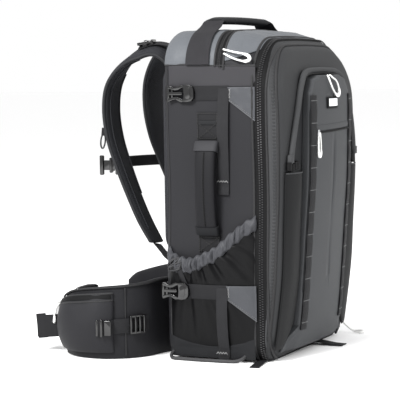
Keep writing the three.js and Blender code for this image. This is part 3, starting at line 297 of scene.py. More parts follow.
# %% Shape tables of the bag
BACK, ZIP, LID, PANEL = 92.0, 92.0, 134.0, 151.0
WIDE, TALL, CROWN, ROUND = 352.0, 558.0, 6.0, 26.0
LID_START, LID_CROWN, PANEL_CROWN = 92.5, 5.5, 8.0
PANEL_WIDE, PANEL_TALL, ARCH_WIDE, ARCH_TALL = 208.0, 484.0, 300.0, 487.0
bag_top = [(1.0, 1.0), (0.0, 1.0), (-0.45, 0.993), (-1.0, 0.968), (-1.45, 0.953)]
bag_upper = [(1.0, 0.15), (0.0, 0.155), (-0.45, 0.18), (-1.0, 0.225), (-1.45, 0.25)]
bag_lower = [(1.0, 0.08), (0.0, 0.08), (-0.45, 0.085), (-1.0, 0.1), (-1.45, 0.15)]
lid_depth = [(0.0, 0.79), (0.07, 0.84), (0.25, 0.935), (0.4, 0.965), (0.54, 0.985), (0.71, 1.0), (0.81, 0.985),
             (0.9, 0.925), (0.965, 0.84)]
panel_depth = [(0.0, 0.76), (0.08, 0.845), (0.25, 0.907), (0.4, 0.947), (0.54, 0.985), (0.7, 1.0), (0.8, 1.0),
               (0.88, 0.965)]
side_waves = [(0.52, 0.15, -0.13), (0.28, 0.14, 0.08), (0.74, 0.14, 0.08)]
hem_lower = [(0.0, 0.296), (0.1, 0.272), (0.28, 0.27), (0.46, 0.29), (0.6, 0.312), (0.75, 0.348), (0.9, 0.383),
             (1.0, 0.401)]
hem_upper = [(0.0, 0.345), (0.1, 0.325), (0.28, 0.317), (0.46, 0.336), (0.6, 0.357), (0.75, 0.396), (0.9, 0.43),
             (1.0, 0.448)]
arch_across = [(0, 1.0), (0.3, 0.92), (0.55, 0.8), (0.75, 0.66), (0.88, 0.48), (1, 0)]
arch_up = [(0, 0.69), (0.3, 0.785), (0.55, 0.88), (0.75, 0.955), (0.88, 0.993), (1, 1.0)]
SIDES = (("left", -1), ("right", 1))


def read_table(rows, at):
    """Smooth curve through (key, value) rows, at one number or an array of them."""
    keys, values = (np.array(column, float) for column in zip(*sorted(rows)))
    at = np.clip(np.asarray(at, float), keys[0], keys[-1])
    i = np.clip(np.searchsorted(keys, at, side="right") - 1, 0, len(keys) - 2)
    before, after = np.maximum(i - 1, 0), np.minimum(i + 2, len(keys) - 1)
    span = keys[i + 1] - keys[i]
    s = (at - keys[i]) / span
    start = (values[i + 1] - values[before]) / (keys[i + 1] - keys[before]) * span
    end = (values[after] - values[i]) / (keys[after] - keys[i]) * span
    return ((2 * s**3 - 3 * s**2 + 1) * values[i] + (s**3 - 2 * s**2 + s) * start
            + (3 * s**2 - 2 * s**3) * values[i + 1] + (s**3 - s**2) * end)


def stack(x, y, z):
    return np.stack(np.broadcast_arrays(x, y, z), axis=-1).astype(float)

# %% Outline, sides and fronts
BASE_END, SIDE_START, SIDE_END, TOP_START, HALF = 2, 6, 18, 24, 27


def side_wave(z):
    return sum(ROUND * out * np.exp(-(((z / TALL - height) / spread) ** 2)) for height, spread, out in side_waves)


def outline(step, y, inset):
    """A point of the bag's outline at a place round it: 0 is the base's middle, 27 the top's."""
    step, y, inset = np.broadcast_arrays(*(np.asarray(a, float) for a in (step, y, inset)))
    side = np.where(step <= HALF, -1.0, 1.0)
    s = np.where(step <= HALF, step, 2 * HALF - step)
    at = y / BACK
    half = WIDE / 2 - inset
    top = read_table(bag_top, at) * TALL - inset
    upper = np.maximum(read_table(bag_upper, at) * WIDE - inset, 8)
    lower = np.maximum(read_table(bag_lower, at) * WIDE - inset, 8)
    low_turn = (np.clip((s - BASE_END) / (SIDE_START - BASE_END), 0, 1) - 1) * math.pi / 2
    high_turn = np.clip((s - SIDE_END) / (TOP_START - SIDE_END), 0, 1) * math.pi / 2
    rise_share = np.clip((s - SIDE_START) / (SIDE_END - SIDE_START), 0, 1)
    cases = [s < BASE_END, s < SIDE_START, s < SIDE_END, s < TOP_START]
    x = np.select(cases, [s / BASE_END * (half - lower), half - lower + lower * np.cos(low_turn), half,
                          half - upper + upper * np.cos(high_turn)],
                  (half - upper) * (1 - (s - TOP_START) / (HALF - TOP_START)))
    z = np.select(cases, [inset, inset + lower + lower * np.sin(low_turn),
                          inset + lower + rise_share * (top - upper - inset - lower),
                          top - upper + upper * np.sin(high_turn)], top)
    out = (x / half) ** 2
    lifted = np.maximum(0, (z - top + upper) / upper) * CROWN * (1 - out)
    return stack(side * (x + side_wave(z) * out), y, z + lifted)


def bag_surface(step, y):
    """The main body's outer face. It rounds over towards the back."""
    past = np.clip(np.asarray(y, float) - (BACK - ROUND), 0, ROUND)
    return outline(step, y, ROUND - np.sqrt(ROUND**2 - past**2))


def side_x(y, z):
    past = np.clip(y - (BACK - ROUND), 0, ROUND)
    return WIDE / 2 + side_wave(z) - (ROUND - np.sqrt(ROUND**2 - past**2))


def on_side(side, y, z, lift=0.0):
    return stack(side * (side_x(y, z) + lift), y, z)


# %% Pocket, lid and panel surfaces
POCKET_BACK, POCKET_FRONT, POCKET_BASE, POCKET_SWELL = 77.7, -80.55, 22.3, 17.0


def pocket_swell(y, z):
    along = np.clip((POCKET_BACK - y) / (POCKET_BACK - POCKET_FRONT), 0, 1)
    high = np.clip((z - POCKET_BASE) / (0.25 * TALL), 0, 1)
    return POCKET_SWELL * np.sin(np.pi * along) ** 0.7 * np.sin(np.pi / 2 * high) ** 0.8


def on_pocket(side, y, z, lift=0.0):
    return on_side(side, y, z, pocket_swell(y, z) + lift)


def lid_front_y(x, z):
    edge = read_table(lid_depth, z / TALL) * LID
    inwards = np.minimum(np.minimum(WIDE / 2 - np.abs(x), TALL - z), z)
    return -(edge + LID_CROWN * np.clip((inwards - 12) / 78, 0, 1))


def lid_front(x, z, lift=0.0):
    return stack(x, lid_front_y(x, z) - lift, z)


def panel_front(x, z, lift=0.0):
    edge = read_table(panel_depth, z / TALL) * PANEL
    crown = np.maximum(PANEL_CROWN * (1 - (2 * x / PANEL_WIDE) ** 2), 0)
    return stack(x, -(edge + crown + lift), z)


def lid_surface(step, share):
    """The lid's side wall: share goes from 0 at the zip to 1 at its front edge."""
    flat = outline(step, -(LID_START + (LID - LID_START) * share), 2 * share**2)
    edge = -lid_front_y(np.full_like(flat[..., 2], WIDE / 2), flat[..., 2])
    flat[..., 1] = -(LID_START + (edge - 9 - LID_START) * share)
    return flat


def arch_point(u):
    """The arch over the panel, from its left end (0) to its right end (1): x and z."""
    share = 1 - np.abs(2 * np.asarray(u, float) - 1)
    across = read_table(arch_across, share) * ARCH_WIDE / 2
    return np.where(np.asarray(u) < 0.5, -across, across), read_table(arch_up, share) * ARCH_TALL

# %% [markdown]
# Three makers build nearly every soft piece. A skin is a slab of cloth on a surface, with rolled
# edges and any swell or fold. A tube follows a line, as piping and cord do. A band is a padded or
# flat strap with a section that changes along it. Each writes a UV map in metres.

# %% Makers of skins, tubes and bands
def smooth_noise(x, y, seed=0):
    """Soft random hills between -1 and 1, one per unit, the same in every run."""
    def corner(i, j):
        n = np.sin(i * 127.1 + j * 311.7 + seed * 74.7) * 43758.5453
        return 2 * (n - np.floor(n)) - 1
    i, j = np.floor(x), np.floor(y)
    fx, fy = x - i, y - j
    fx, fy = fx * fx * (3 - 2 * fx), fy * fy * (3 - 2 * fy)
    return ((corner(i, j) * (1 - fx) + corner(i + 1, j) * fx) * (1 - fy)
            + (corner(i, j + 1) * (1 - fx) + corner(i + 1, j + 1) * fx) * fy)


# %% Writing a piece
made, shown = {}, set()


def print_new(step):
    """Prints how many pieces were made since the last call, and the first of them."""
    new = [name for name in made if name not in shown]
    shown.update(new)
    print(f"{step}: {len(new)} pieces, such as {', '.join(new[:3])}")


def write_piece(name, points, faces, finish, uv=None, node=None, sharp=50):
    """Makes the object, in metres. A node that is True is the CAD node of the same name."""
    mesh = bpy.data.meshes.new(name)
    mesh.from_pydata((np.asarray(points) * MM).tolist(), [], faces)
    mesh.materials.append(finish)
    if uv is not None:
        layer = mesh.uv_layers.new(name="UVMap")
        corners = np.empty(len(mesh.loops), int)
        mesh.loops.foreach_get("vertex_index", corners)
        layer.data.foreach_set("uv", (np.asarray(uv)[corners] * MM).ravel())
    mesh.polygons.foreach_set("use_smooth", np.ones(len(mesh.polygons), bool))
    if sharp:
        mesh.set_sharp_from_angle(angle=math.radians(sharp))
    mesh.validate()
    piece = new_object(name, mesh)
    finish_piece(piece, name if node is True else node)
    return piece


def finish_piece(piece, node=None):
    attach(piece, BODY)
    if node:
        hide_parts(node)
    made[piece.name] = piece


def unit(v):
    return v / np.maximum(np.linalg.norm(v, axis=-1, keepdims=True), 1e-9)


# %% Skins
BAG_MIDDLE = (0, 0, 280)


def skin(name, place, size, finish, thickness=1.6, lift=0.3, swell=None, roll=2.0, loose=False, slot="cloth",
         node=None, floor=0.4):
    """A slab of cloth on place(u, v), facing away from the bag's middle. swell(u, v, s, t) is in mm;
    loose keeps its wall thin; floor is the share of the thickness that its edge keeps."""
    columns, rows = size
    u, v = np.meshgrid(np.linspace(0, 1, columns + 1), np.linspace(0, 1, rows + 1), indexing="ij")
    base = place(u, v)
    normal = unit(np.cross(np.gradient(base, axis=0), np.gradient(base, axis=1)))
    flip = ((base - BAG_MIDDLE) * normal).sum() < 0
    if flip:
        normal = -normal
    s, t = np.zeros_like(u), np.zeros_like(u)
    s[1:] = np.cumsum(np.linalg.norm(np.diff(base, axis=0), axis=-1), axis=0)
    t[:, 1:] = np.cumsum(np.linalg.norm(np.diff(base, axis=1), axis=-1), axis=1)
    edge = np.minimum(np.minimum(s, s[-1] - s), np.minimum(t, t[:, -1:] - t))
    rolled = np.sqrt(1 - (1 - np.clip(edge / roll, 0, 1)) ** 2) * (1 - floor) + floor
    bulge = swell(u, v, s, t) if swell else np.zeros_like(u)
    outer = base + normal * (lift + thickness * rolled + bulge)[..., None]
    inner = base + normal * (lift + (bulge if loose else 0 * bulge))[..., None]
    count = (columns + 1) * (rows + 1)
    index = np.arange(count).reshape(columns + 1, rows + 1)
    a, b, c, d = index[:-1, :-1], index[1:, :-1], index[1:, 1:], index[:-1, 1:]
    quads = np.stack([a, b, c, d], -1).reshape(-1, 4)
    border = np.concatenate([index[:, 0], index[-1, 1:], index[-2::-1, -1], index[0, -2:0:-1]])
    after = np.roll(border, -1)
    rim = np.stack([border, border + count, after + count, after], -1)
    below = quads[:, ::-1] + count
    faces = np.concatenate([quads, below, rim])
    if flip:
        faces = faces[:, ::-1]
    points = np.concatenate([outer.reshape(-1, 3), inner.reshape(-1, 3)])
    flat = np.stack([s, t], -1).reshape(-1, 2)
    return write_piece(name, points, faces.tolist(), finish, np.concatenate([flat, flat]), node)


# %% Lines and rings
def resample(path, step):
    """Even points along a smooth curve through the path's points (centripetal, as the frame has)."""
    p = np.asarray(path, float)
    p = np.concatenate([[2 * p[0] - p[1]], p, [2 * p[-1] - p[-2]]])
    knots = np.concatenate([[0], np.cumsum(np.maximum(np.linalg.norm(np.diff(p, axis=0), axis=-1), 1e-6) ** 0.5)])
    fine = []
    for k in range(1, len(p) - 2):
        t0, t1, t2, t3 = knots[k - 1:k + 3]
        t = np.linspace(t1, t2, 24, endpoint=False)[:, None]
        a1 = (t1 - t) / (t1 - t0) * p[k - 1] + (t - t0) / (t1 - t0) * p[k]
        a2 = (t2 - t) / (t2 - t1) * p[k] + (t - t1) / (t2 - t1) * p[k + 1]
        a3 = (t3 - t) / (t3 - t2) * p[k + 1] + (t - t2) / (t3 - t2) * p[k + 2]
        b1 = (t2 - t) / (t2 - t0) * a1 + (t - t0) / (t2 - t0) * a2
        b2 = (t3 - t) / (t3 - t1) * a2 + (t - t1) / (t3 - t1) * a3
        fine.append((t2 - t) / (t2 - t1) * b1 + (t - t1) / (t2 - t1) * b2)
    fine = np.concatenate([*fine, p[-2:-1]])
    length = np.concatenate([[0], np.cumsum(np.linalg.norm(np.diff(fine, axis=0), axis=-1))])
    count = max(2, int(round(length[-1] / step)) + 1)
    at = np.linspace(0, length[-1], count)
    return np.stack([np.interp(at, length, fine[:, k]) for k in range(3)], -1)


def sweep(centre, wide, section, closed=False):
    """Rings of points along a line, with section(i) -> (n, 2) offsets along the wide and thick axes."""
    if closed:
        along = unit(np.roll(centre, -1, 0) - np.roll(centre, 1, 0))
    else:
        along = unit(np.gradient(centre, axis=0))
    wide = unit(wide - along * (wide * along).sum(-1, keepdims=True))
    thick = np.cross(along, wide)
    return np.stack([centre[i] + section(i) @ np.stack([wide[i], thick[i]]) for i in range(len(centre))])


def ring_faces(rings, closed=False):
    """Points and faces of rings, with the two ends closed by fans unless the rings run round."""
    count, sides = rings.shape[:2]
    index = np.arange(count * sides).reshape(count, sides)
    ahead = np.roll(index, -1, 1)
    if closed:
        quads = np.stack([index, np.roll(index, -1, 0), np.roll(ahead, -1, 0), ahead], -1).reshape(-1, 4)
        return rings.reshape(-1, 3), quads.tolist()
    quads = np.stack([index[:-1], index[1:], ahead[1:], ahead[:-1]], -1).reshape(-1, 4).tolist()
    points = np.concatenate([rings.reshape(-1, 3), np.stack([rings[0].mean(0), rings[-1].mean(0)])])
    first, last = count * sides, count * sides + 1
    quads += [[first, int(a), int(b)] for a, b in zip(index[0], ahead[0])]
    quads += [[last, int(b), int(a)] for a, b in zip(index[-1], ahead[-1])]
    return points, quads


def outward(points, faces):
    """Turns all faces round if the body is inside out."""
    volume = 0.0
    p = np.asarray(points)
    for f in faces:
        a = p[f[0]]
        for k in range(1, len(f) - 1):
            volume += a @ np.cross(p[f[k]], p[f[k + 1]])
    return faces if volume > 0 else [f[::-1] for f in faces]


def ring_uv(rings, extra=2):
    """Distances round and along the rings, with as many rows more as there are points in the caps."""
    around, along = np.zeros(rings.shape[:2]), np.zeros(rings.shape[:2])
    around[:, 1:] = np.cumsum(np.linalg.norm(np.diff(rings, axis=1), axis=-1), axis=1)
    along[1:] = np.cumsum(np.linalg.norm(np.diff(rings, axis=0), axis=-1), axis=0)
    flat = np.stack([around, along], -1).reshape(-1, 2)
    return np.concatenate([flat, flat[:extra]])


# %% Tubes and bands
def tube(name, path, radius, finish, sides=10, node=None, closed=False, flat=1.0):
    """A round or flattened tube along evenly spaced points, kept above the floor. Radius may change
    along it."""
    centre = np.asarray(path, float)
    radius = np.broadcast_to(np.asarray(radius, float), (len(centre),))
    centre = np.column_stack([centre[:, :2], np.maximum(centre[:, 2], radius + 0.1)])
    along = unit(np.gradient(centre, axis=0))
    wide = np.cross(along, (0.0, 0.0, 1.0))
    upright = np.linalg.norm(wide, axis=-1) < 0.2
    wide[upright] = np.cross(along, (0.3, 0.5, 0.8))[upright]
    for i in range(1, len(wide)):
        kept = wide[i - 1] - along[i] * (wide[i - 1] @ along[i])
        wide[i] = kept / max(np.linalg.norm(kept), 1e-9)
    turns = (np.arange(sides) + 0.5) / sides * 2 * np.pi
    circle = np.stack([np.cos(turns), np.sin(turns) * flat], -1)
    rings = sweep(centre, wide, lambda i: circle * radius[i], closed=closed)
    points, faces = ring_faces(rings, closed)
    return write_piece(name, points, outward(points, faces), finish, ring_uv(rings, 0 if closed else 2), node)


def superellipse(sides, power):
    """Points round a rounded rectangle of half sizes 1; power 2 is an oval."""
    turns = (np.arange(sides) + 0.5) / sides * 2 * np.pi
    cos, sin = np.cos(turns), np.sin(turns)
    return np.stack([np.sign(cos) * np.abs(cos) ** (2 / power), np.sign(sin) * np.abs(sin) ** (2 / power)], -1)


def band(name, stations, finish, power=3.2, sides=28, step=4.0, node=None):
    """A strap through stations of (point, across, width, thickness). Power is its section's squareness."""
    points_in = np.array([s[0] for s in stations], float)
    length = np.linalg.norm(np.diff(points_in, axis=0), axis=-1)
    keys = np.concatenate([[0], np.cumsum(length)]) / length.sum()
    centre = resample(points_in, step=step)
    shares = np.linspace(0, 1, len(centre))
    across = np.stack([np.interp(shares, keys, [s[1][k] for s in stations]) for k in range(3)], -1)
    width = np.interp(shares, keys, [s[2] for s in stations])
    thick = np.interp(shares, keys, [s[3] for s in stations])
    outline_points = superellipse(sides, power)
    rings = sweep(centre, across, lambda i: outline_points * (width[i] / 2, thick[i] / 2))
    points, faces = ring_faces(rings)
    write_piece(name, points, outward(points, faces), finish, ring_uv(rings), node, 40)
    return centre, across, width, thick

# %% [markdown]
# Stitches, coil teeth and bar tacks repeat along a seam, so one small Geometry Nodes tree makes them
# all: it takes lines that know which way the cloth faces, sets points along them at a spacing, and
# puts a small block on each, turned to the seam. The result is made real and kept as a plain mesh.

# %% Tree that repeats a block along lines
def repeat_tree():
    tree = bpy.data.node_groups.new("blocks along lines", "GeometryNodeTree")
    face = tree.interface
    face.new_socket("Geometry", in_out="INPUT", socket_type="NodeSocketGeometry")
    for label, kind in (("Spacing", "NodeSocketFloat"), ("Block", "NodeSocketVector"), ("Turn", "NodeSocketFloat"),
                        ("Finish", "NodeSocketMaterial")):
        face.new_socket(label, in_out="INPUT", socket_type=kind)
    face.new_socket("Geometry", in_out="OUTPUT", socket_type="NodeSocketGeometry")
    inside = tree.nodes.new("NodeGroupInput")
    curve = add(tree, "GeometryNodeMeshToCurve", i0=inside.outputs["Geometry"])
    spread = add(tree, "GeometryNodeResampleCurve", {"mode": "LENGTH"}, Curve=curve.outputs[0],
                 Length=inside.outputs["Spacing"])
    facing = add(tree, "GeometryNodeInputNamedAttribute", {"data_type": "FLOAT_VECTOR"}, Name="facing")
    tangent = tree.nodes.new("GeometryNodeInputTangent")
    first = add(tree, "FunctionNodeAlignRotationToVector", {"axis": "Z"}, Vector=facing.outputs["Attribute"])
    second = add(tree, "FunctionNodeAlignRotationToVector", {"axis": "X", "pivot_axis": "Z"},
                 Rotation=first.outputs[0], Vector=tangent.outputs[0])
    spin = tree.nodes.new("FunctionNodeEulerToRotation")
    angle = add(tree, "ShaderNodeCombineXYZ", Z=inside.outputs["Turn"])
    tree.links.new(angle.outputs[0], spin.inputs[0])
    both = add(tree, "FunctionNodeRotateRotation", {"rotation_space": "LOCAL"}, Rotation=second.outputs[0])
    tree.links.new(spin.outputs[0], both.inputs["Rotate By"])
    block = add(tree, "GeometryNodeMeshCube", Size=inside.outputs["Block"])
    placed = add(tree, "GeometryNodeInstanceOnPoints", Points=spread.outputs[0], Instance=block.outputs["Mesh"],
                 Rotation=both.outputs[0])
    real = add(tree, "GeometryNodeRealizeInstances", Geometry=placed.outputs[0])
    tinted = add(tree, "GeometryNodeSetMaterial", Geometry=real.outputs[0], Material=inside.outputs["Finish"])
    outside = tree.nodes.new("NodeGroupOutput")
    tree.links.new(tinted.outputs[0], outside.inputs[0])
    return tree


# %% Blocks along lines
blocks_tree = repeat_tree()
socket_names = {s.name: s.identifier for s in blocks_tree.interface.items_tree if s.in_out == "INPUT"}


def repeat_blocks(name, lines, spacing, block, finish, turn=0.0):
    """lines is a list of (points, facing) in mm. block is the size along, across and out."""
    points, edges, facings = [], [], []
    for path, facing in lines:
        path = np.asarray(path, float)
        start = sum(len(p) for p in points)
        points.append(path)
        edges += [(start + k, start + k + 1) for k in range(len(path) - 1)]
        facings.append(np.broadcast_to(np.asarray(facing, float), path.shape))
    mesh = bpy.data.meshes.new(name)
    mesh.from_pydata((np.concatenate(points) * MM).tolist(), edges, [])
    layer = mesh.attributes.new("facing", "FLOAT_VECTOR", "POINT")
    layer.data.foreach_set("vector", np.concatenate(facings).ravel())
    lines_object = new_object(name + "_lines", mesh)
    modifier = lines_object.modifiers.new("blocks", "NODES")
    modifier.node_group = blocks_tree
    modifier[socket_names["Spacing"]] = spacing * MM
    modifier[socket_names["Block"]] = [b * MM for b in block]
    modifier[socket_names["Turn"]] = turn
    modifier[socket_names["Finish"]] = finish
    seen = lines_object.evaluated_get(bpy.context.evaluated_depsgraph_get())
    result = bpy.data.meshes.new_from_object(seen)
    bpy.data.objects.remove(lines_object)
    finish_piece(new_object(name, result))

# %% [markdown]
# The main body is a padded box of coated nylon, open to the front. Foam behind the cloth keeps its
# sides smooth. A cloth simulation would round the box like a cushion, so it is lofted through the
# same outline as the frame, with many more points.

# %% Main body and front lid
def rings_piece(name, rings, finish, node=True):
    rings = np.stack(rings)
    points, faces = ring_faces(rings)
    write_piece(name, points, outward(points, faces), finish, ring_uv(rings), node)


def lid_edge(z):
    return read_table(lid_depth, z / TALL) * LID


steps = np.linspace(0, 2 * HALF, 4 * 2 * HALF + 1)[:-1]
wall = 8.0
inner = BACK - wall
rings = [outline(steps, BACK, inset) for inset in (150, 120, 90, 60, 40)]
for turn in np.linspace(0, math.pi / 2, 9):
    rings.append(outline(steps, BACK - ROUND * (1 - math.cos(turn)), ROUND * (1 - math.sin(turn))))
for y in np.linspace(BACK - ROUND, -ZIP, 28)[1:]:
    rings.append(outline(steps, y, 0))
rings += [outline(steps, -ZIP, wall), outline(steps, inner - ROUND, wall), outline(steps, inner, ROUND + wall)]
rings_piece("body_cloth", rings, side_cloth, "main_body")


def lid_ring(share, inset, back):
    ring = outline(steps, -(LID_START + (LID - LID_START) * share), inset)
    ring[:, 1] = -(LID_START + (lid_edge(ring[:, 2]) - back - LID_START) * share)
    return ring


rings = [lid_ring(0, 6, 0)] + [lid_ring(share, 2 * share**2, 9 * share**3) for share in np.linspace(0, 1, 14)]
for inset, drop in ((3, 6.6), (4.2, 4.4), (5.8, 2.8), (8, 1.3), (12, 0), (20, -0.7), (35, -1.8), (50, -2.75),
                    (70, -4.2), (90, -5.5), (120, -5.5), (150, -5.5)):
    rings.append(lid_ring(1, inset, drop))
hollow = [lid_ring(1, 20, 6), lid_ring(1, 11, 12)]
rings_piece("lid_cloth", hollow + rings, front_cloth, "front_lid")
print_new("body and lid")

# %% [markdown]
# On each side a lighter yoke runs under the top. The grey top panel wraps over both shoulders of the
# bag. Between it and the wedge the top zip runs down both corners. These are thin skins of cloth on
# the padded box, so they follow its surface; the seams between them are narrow dark cords.

# %% Yoke, top panel, wedge
SHOULDER, OTHER_SHOULDER = 18, 36


def round_surface(step, y):
    """The outer face of the body, and of the lid's side wall in front of the zip."""
    step, y = np.broadcast_arrays(np.asarray(step, float), np.asarray(y, float))
    flat = bag_surface(step, y)
    for _ in range(2):
        reach = np.maximum(lid_edge(flat[..., 2]) - 9 - LID_START, 1)
        share = np.clip((-y - LID_START) / reach, 0, 1)
        lid_wall = outline(step, -(LID_START + (LID - LID_START) * share), 2 * share**2)
        flat = np.where((y < -LID_START)[..., None], lid_wall, bag_surface(step, y))
    flat[..., 1] = y
    return flat


def blend(a, b, share):
    return a + (b - a) * share


seam_y = np.linspace(88, -85, 50)
for side_name, side in SIDES:
    skin(f"yoke_{side_name}", lambda u, v: on_side(side, blend(76, -85, u), blend(468, 504, v)), (48, 10), yoke_cloth,
         thickness=0.7, lift=0.2)
    height = bag_surface(np.full(50, SHOULDER if side < 0 else OTHER_SHOULDER), seam_y)[:, 2]
    level_seam = on_side(side, seam_y, np.maximum(height, height[25] + 0.02 * (seam_y - seam_y[25])))
    tube(f"shoulder_seam_{side_name}", level_seam + [side * 0.6, 0, 0], 1.3, piping)
skin("top_panel", lambda u, v: bag_surface(blend(SHOULDER, OTHER_SHOULDER, u), blend(90, -11, v)), (150, 24),
     light_cloth, thickness=1.2, lift=0.5, node=True,
     swell=lambda u, v, s, t: 1.1 * smooth_noise(s / 26, t / 17, 5) * np.sin(math.pi * v) ** 0.5)
skin("top_wedge", lambda u, v: bag_surface(blend(18.9 + 2.6 * v**1.3, 35.1 - 2.6 * v**1.3, u), blend(-27, -83, v)),
     (130, 16), light_cloth, thickness=1.2, lift=0.5, node=True,
     swell=lambda u, v, s, t: (1.2 * smooth_noise(s / 22, t / 15, 8) + 1.0) * np.sin(math.pi * v) ** 0.6)
print_new("yoke, top panel and wedge")

# %% [markdown]
# The lid's zip runs right round the bag: a dark tape with a coil in its middle and a thick piping on
# each side; the tape's near black also holds painted shade of the gap between the pipings. The top
# zip is the same and narrower. The coil's teeth alternate, so they are two rows of small blocks from
# the repeating tree.

# %% Zips round the bag
def zip_round(name, node, first, last, y, half, rail, tooth):
    steps = np.linspace(first, last, int((last - first) * 7))
    skin(f"{name}_tape", lambda u, v: round_surface(blend(first, last, u), blend(y + half, y - half, v)),
         (int((last - first) * 4), 6), shadow_tape, thickness=0.9, lift=0.4, slot="zip", node=node)
    for k, at in (("back", y + half), ("front", y - half)):
        line = round_surface(steps, np.full(len(steps), at))
        centre = line.mean(0)
        tube(f"{name}_rail_{k}", line + unit(line - centre) * [rail * 0.6, 0, rail * 0.6], rail, piping)
    middle = round_surface(steps, np.full(len(steps), y))
    out = unit((middle - middle.mean(0)) * [1, 0, 1])
    lines = [((middle + [0, shift * tooth, 0] + out * 1.9)[first_point:], out[first_point:])
             for first_point, shift in ((0, -0.8), (1, 0.8))]
    repeat_blocks(f"{name}_teeth", lines, tooth * 1.5, (tooth * 0.7, tooth * 1.0, 1.0), coil)


zip_round("lid_zip", "main_zip", 3, 51, -92, 12.5, 2.3, 2.8)
zip_round("top_zip", "top_zip", SHOULDER, OTHER_SHOULDER, -19, 8.0, 2.0, 1.8)
print_new("zips")

# %% [markdown]
# The lid's side wall is a gusset of paler cloth with a ribbed strip, piped where it meets the front.
# Skins on the wall's own surface keep them in place; the ribs are a wave along the strip.

# %% Lid gusset
GUSSET = (3, 51)
skin("lid_gusset", lambda u, v: lid_surface(blend(*GUSSET, u), blend(0.36, 0.97, v)), (200, 12), gusset_cloth,
     thickness=0.8, lift=0.3, swell=lambda u, v, s, t: 0.5 * smooth_noise(s / 60, t / 12, 11)
     + 1.2 * np.exp(-(((v - 0.35) / 0.08) ** 2)))
skin("gusset_ribs", lambda u, v: lid_surface(blend(*GUSSET, u), blend(0.68, 0.86, v)), (900, 5), front_cloth,
     thickness=0.7, lift=0.9, swell=lambda u, v, s, t: 0.5 * np.sin(2 * math.pi * s / 6))
gusset_steps = np.linspace(*GUSSET, 330)
for name, share, radius in (("inner", 0.44, 1.0), ("outer", 0.96, 2.3)):
    line = lid_surface(gusset_steps, np.full(330, share))
    tube(f"gusset_piping_{name}", line + unit((line - line.mean(0)) * [1, 0, 1]) * radius * 0.5, radius, piping)
print_new("gusset")

# %% [markdown]
# The grey centre panel is a shallow pocket that widens into two corners at the lid's lower edge. It
# is lofted through its own outline. A ladder of webbing is sewn down each edge, with a bar tack each
# 38 mm; the tacks come from the repeating tree. The arch zip's cover is a soft tube over the upper
# half, with a dark gusset inside it.

# %% Centre panel
FLARE = 296 / 208
panel_edge = np.array([(0, 0.03), (0.5, 0.03), (1, 0.028), (FLARE, 0.03), (0.45 + FLARE * 0.55, 0.075), (1, 0.115),
                       (1, 0.2), (1, 0.33), (1, 0.46), (1, 0.6), (1, 0.74), (0.98, 0.86), (0.9, 0.94), (0.72, 0.985),
                       (0.4, 1), (0, 1)]) * [PANEL_WIDE / 2, PANEL_TALL]


def panel_outline():
    """The panel's edge: straight runs kept, with the points spread along it."""
    left = panel_edge * [-1, 1]
    loop = np.concatenate([left, panel_edge[-2::-1]])
    keys = np.linspace(0, len(loop) - 1, 12 * (len(loop) - 1) + 1)[:-1]
    return np.stack([np.interp(keys, np.arange(len(loop)), loop[:, k]) for k in (0, 1)], -1)


def panel_ring(inset, lift, seated=False):
    edge = panel_outline()
    middle = PANEL_TALL / 2
    x = edge[:, 0] * (1 - inset / (PANEL_WIDE / 2))
    z = middle + (edge[:, 1] - middle) * (1 - inset / middle)
    if seated:
        return lid_front(x, z, lift)
    out = -panel_front(x, z, lift)[:, 1]
    least = -lid_front(x, z, 4 + lift)[:, 1]
    flare = np.clip((np.abs(x) - PANEL_WIDE / 2) / 20, 0, 1)
    return stack(x, -blend(np.maximum(out, least), least, flare), z)


rings = [panel_ring(*ring) for ring in ((90, -2), (40, -2), (4, -2), (2, 1, True), (0, 1, True), (0, -3), (0.5, -1.4),
                                        (1.4, -0.5))]
rings += [panel_ring(inset, 0.0) for inset in (3, 6, 12, 20, 30, 45, 60, 75, 90, 100)]
rings_piece("centre_panel", rings, panel_cloth)

# %% Ladder webbing
TACK_PITCH = 38.1  # from one bar tack to the next
for side_name, side in SIDES:
    middle = side * (PANEL_WIDE / 2 - 15)
    skin(f"ladder_webbing_{side_name}", lambda u, v: panel_front(middle + (u - 0.5) * 20, blend(48, 450, v)), (4, 90),
         webbing, thickness=1.5, lift=0.8, slot="webbing", node=f"daisy_webbing_{side_name}",
         swell=lambda u, v, s, t: 1.3 * np.abs(np.sin(math.pi * (t - 12) / TACK_PITCH)) ** 0.6)
    tacks = [(panel_front(middle + np.array([-9.0, 9.0]), np.full(2, z), 2.6), (0, -1, 0))
             for z in np.arange(60, 448, TACK_PITCH)]
    repeat_blocks(f"ladder_tacks_{side_name}", tacks, 1.6, (1.7, 1.2, 0.8), light_thread)

# %% Arch zip and its gusset
x, z = arch_point(np.linspace(0, 1, 140))
along = unit(np.gradient(np.stack([x, z], -1), axis=0))
arch_x, arch_z = x - along[:, 1] * 5.8, z + along[:, 0] * 5.8
tube("arch_cover", lid_front(arch_x, arch_z, 4.2), np.minimum(5.2, 3 + 60 * np.sin(np.linspace(0.01, 3.13, 140))),
     gusset_cloth, sides=16, node="arch_zip")
tube("arch_seam", lid_front(x - along[:, 1] * 0.4, z + along[:, 0] * 0.4, 4.5), 1.3, piping)


def panel_exit(x, z):
    """Where the line from the panel's upper middle to a point of the arch leaves the panel."""
    start = np.array([0, 0.68 * PANEL_TALL])
    way = np.array([abs(x), z]) - start
    reach = 0
    for a, b in zip(panel_edge[4:-1], panel_edge[5:]):
        edge = b - a
        cross = way[0] * edge[1] - way[1] * edge[0]
        share = ((a - start)[0] * edge[1] - (a - start)[1] * edge[0]) / cross
        along = ((a - start)[0] * way[1] - (a - start)[1] * way[0]) / cross
        if share > 0 and -1e-6 <= along <= 1 + 1e-6:
            reach = max(reach, share)
    reach += 3.5 / np.linalg.norm(way)
    return math.copysign(way[0] * reach, x), start[1] + way[1] * reach


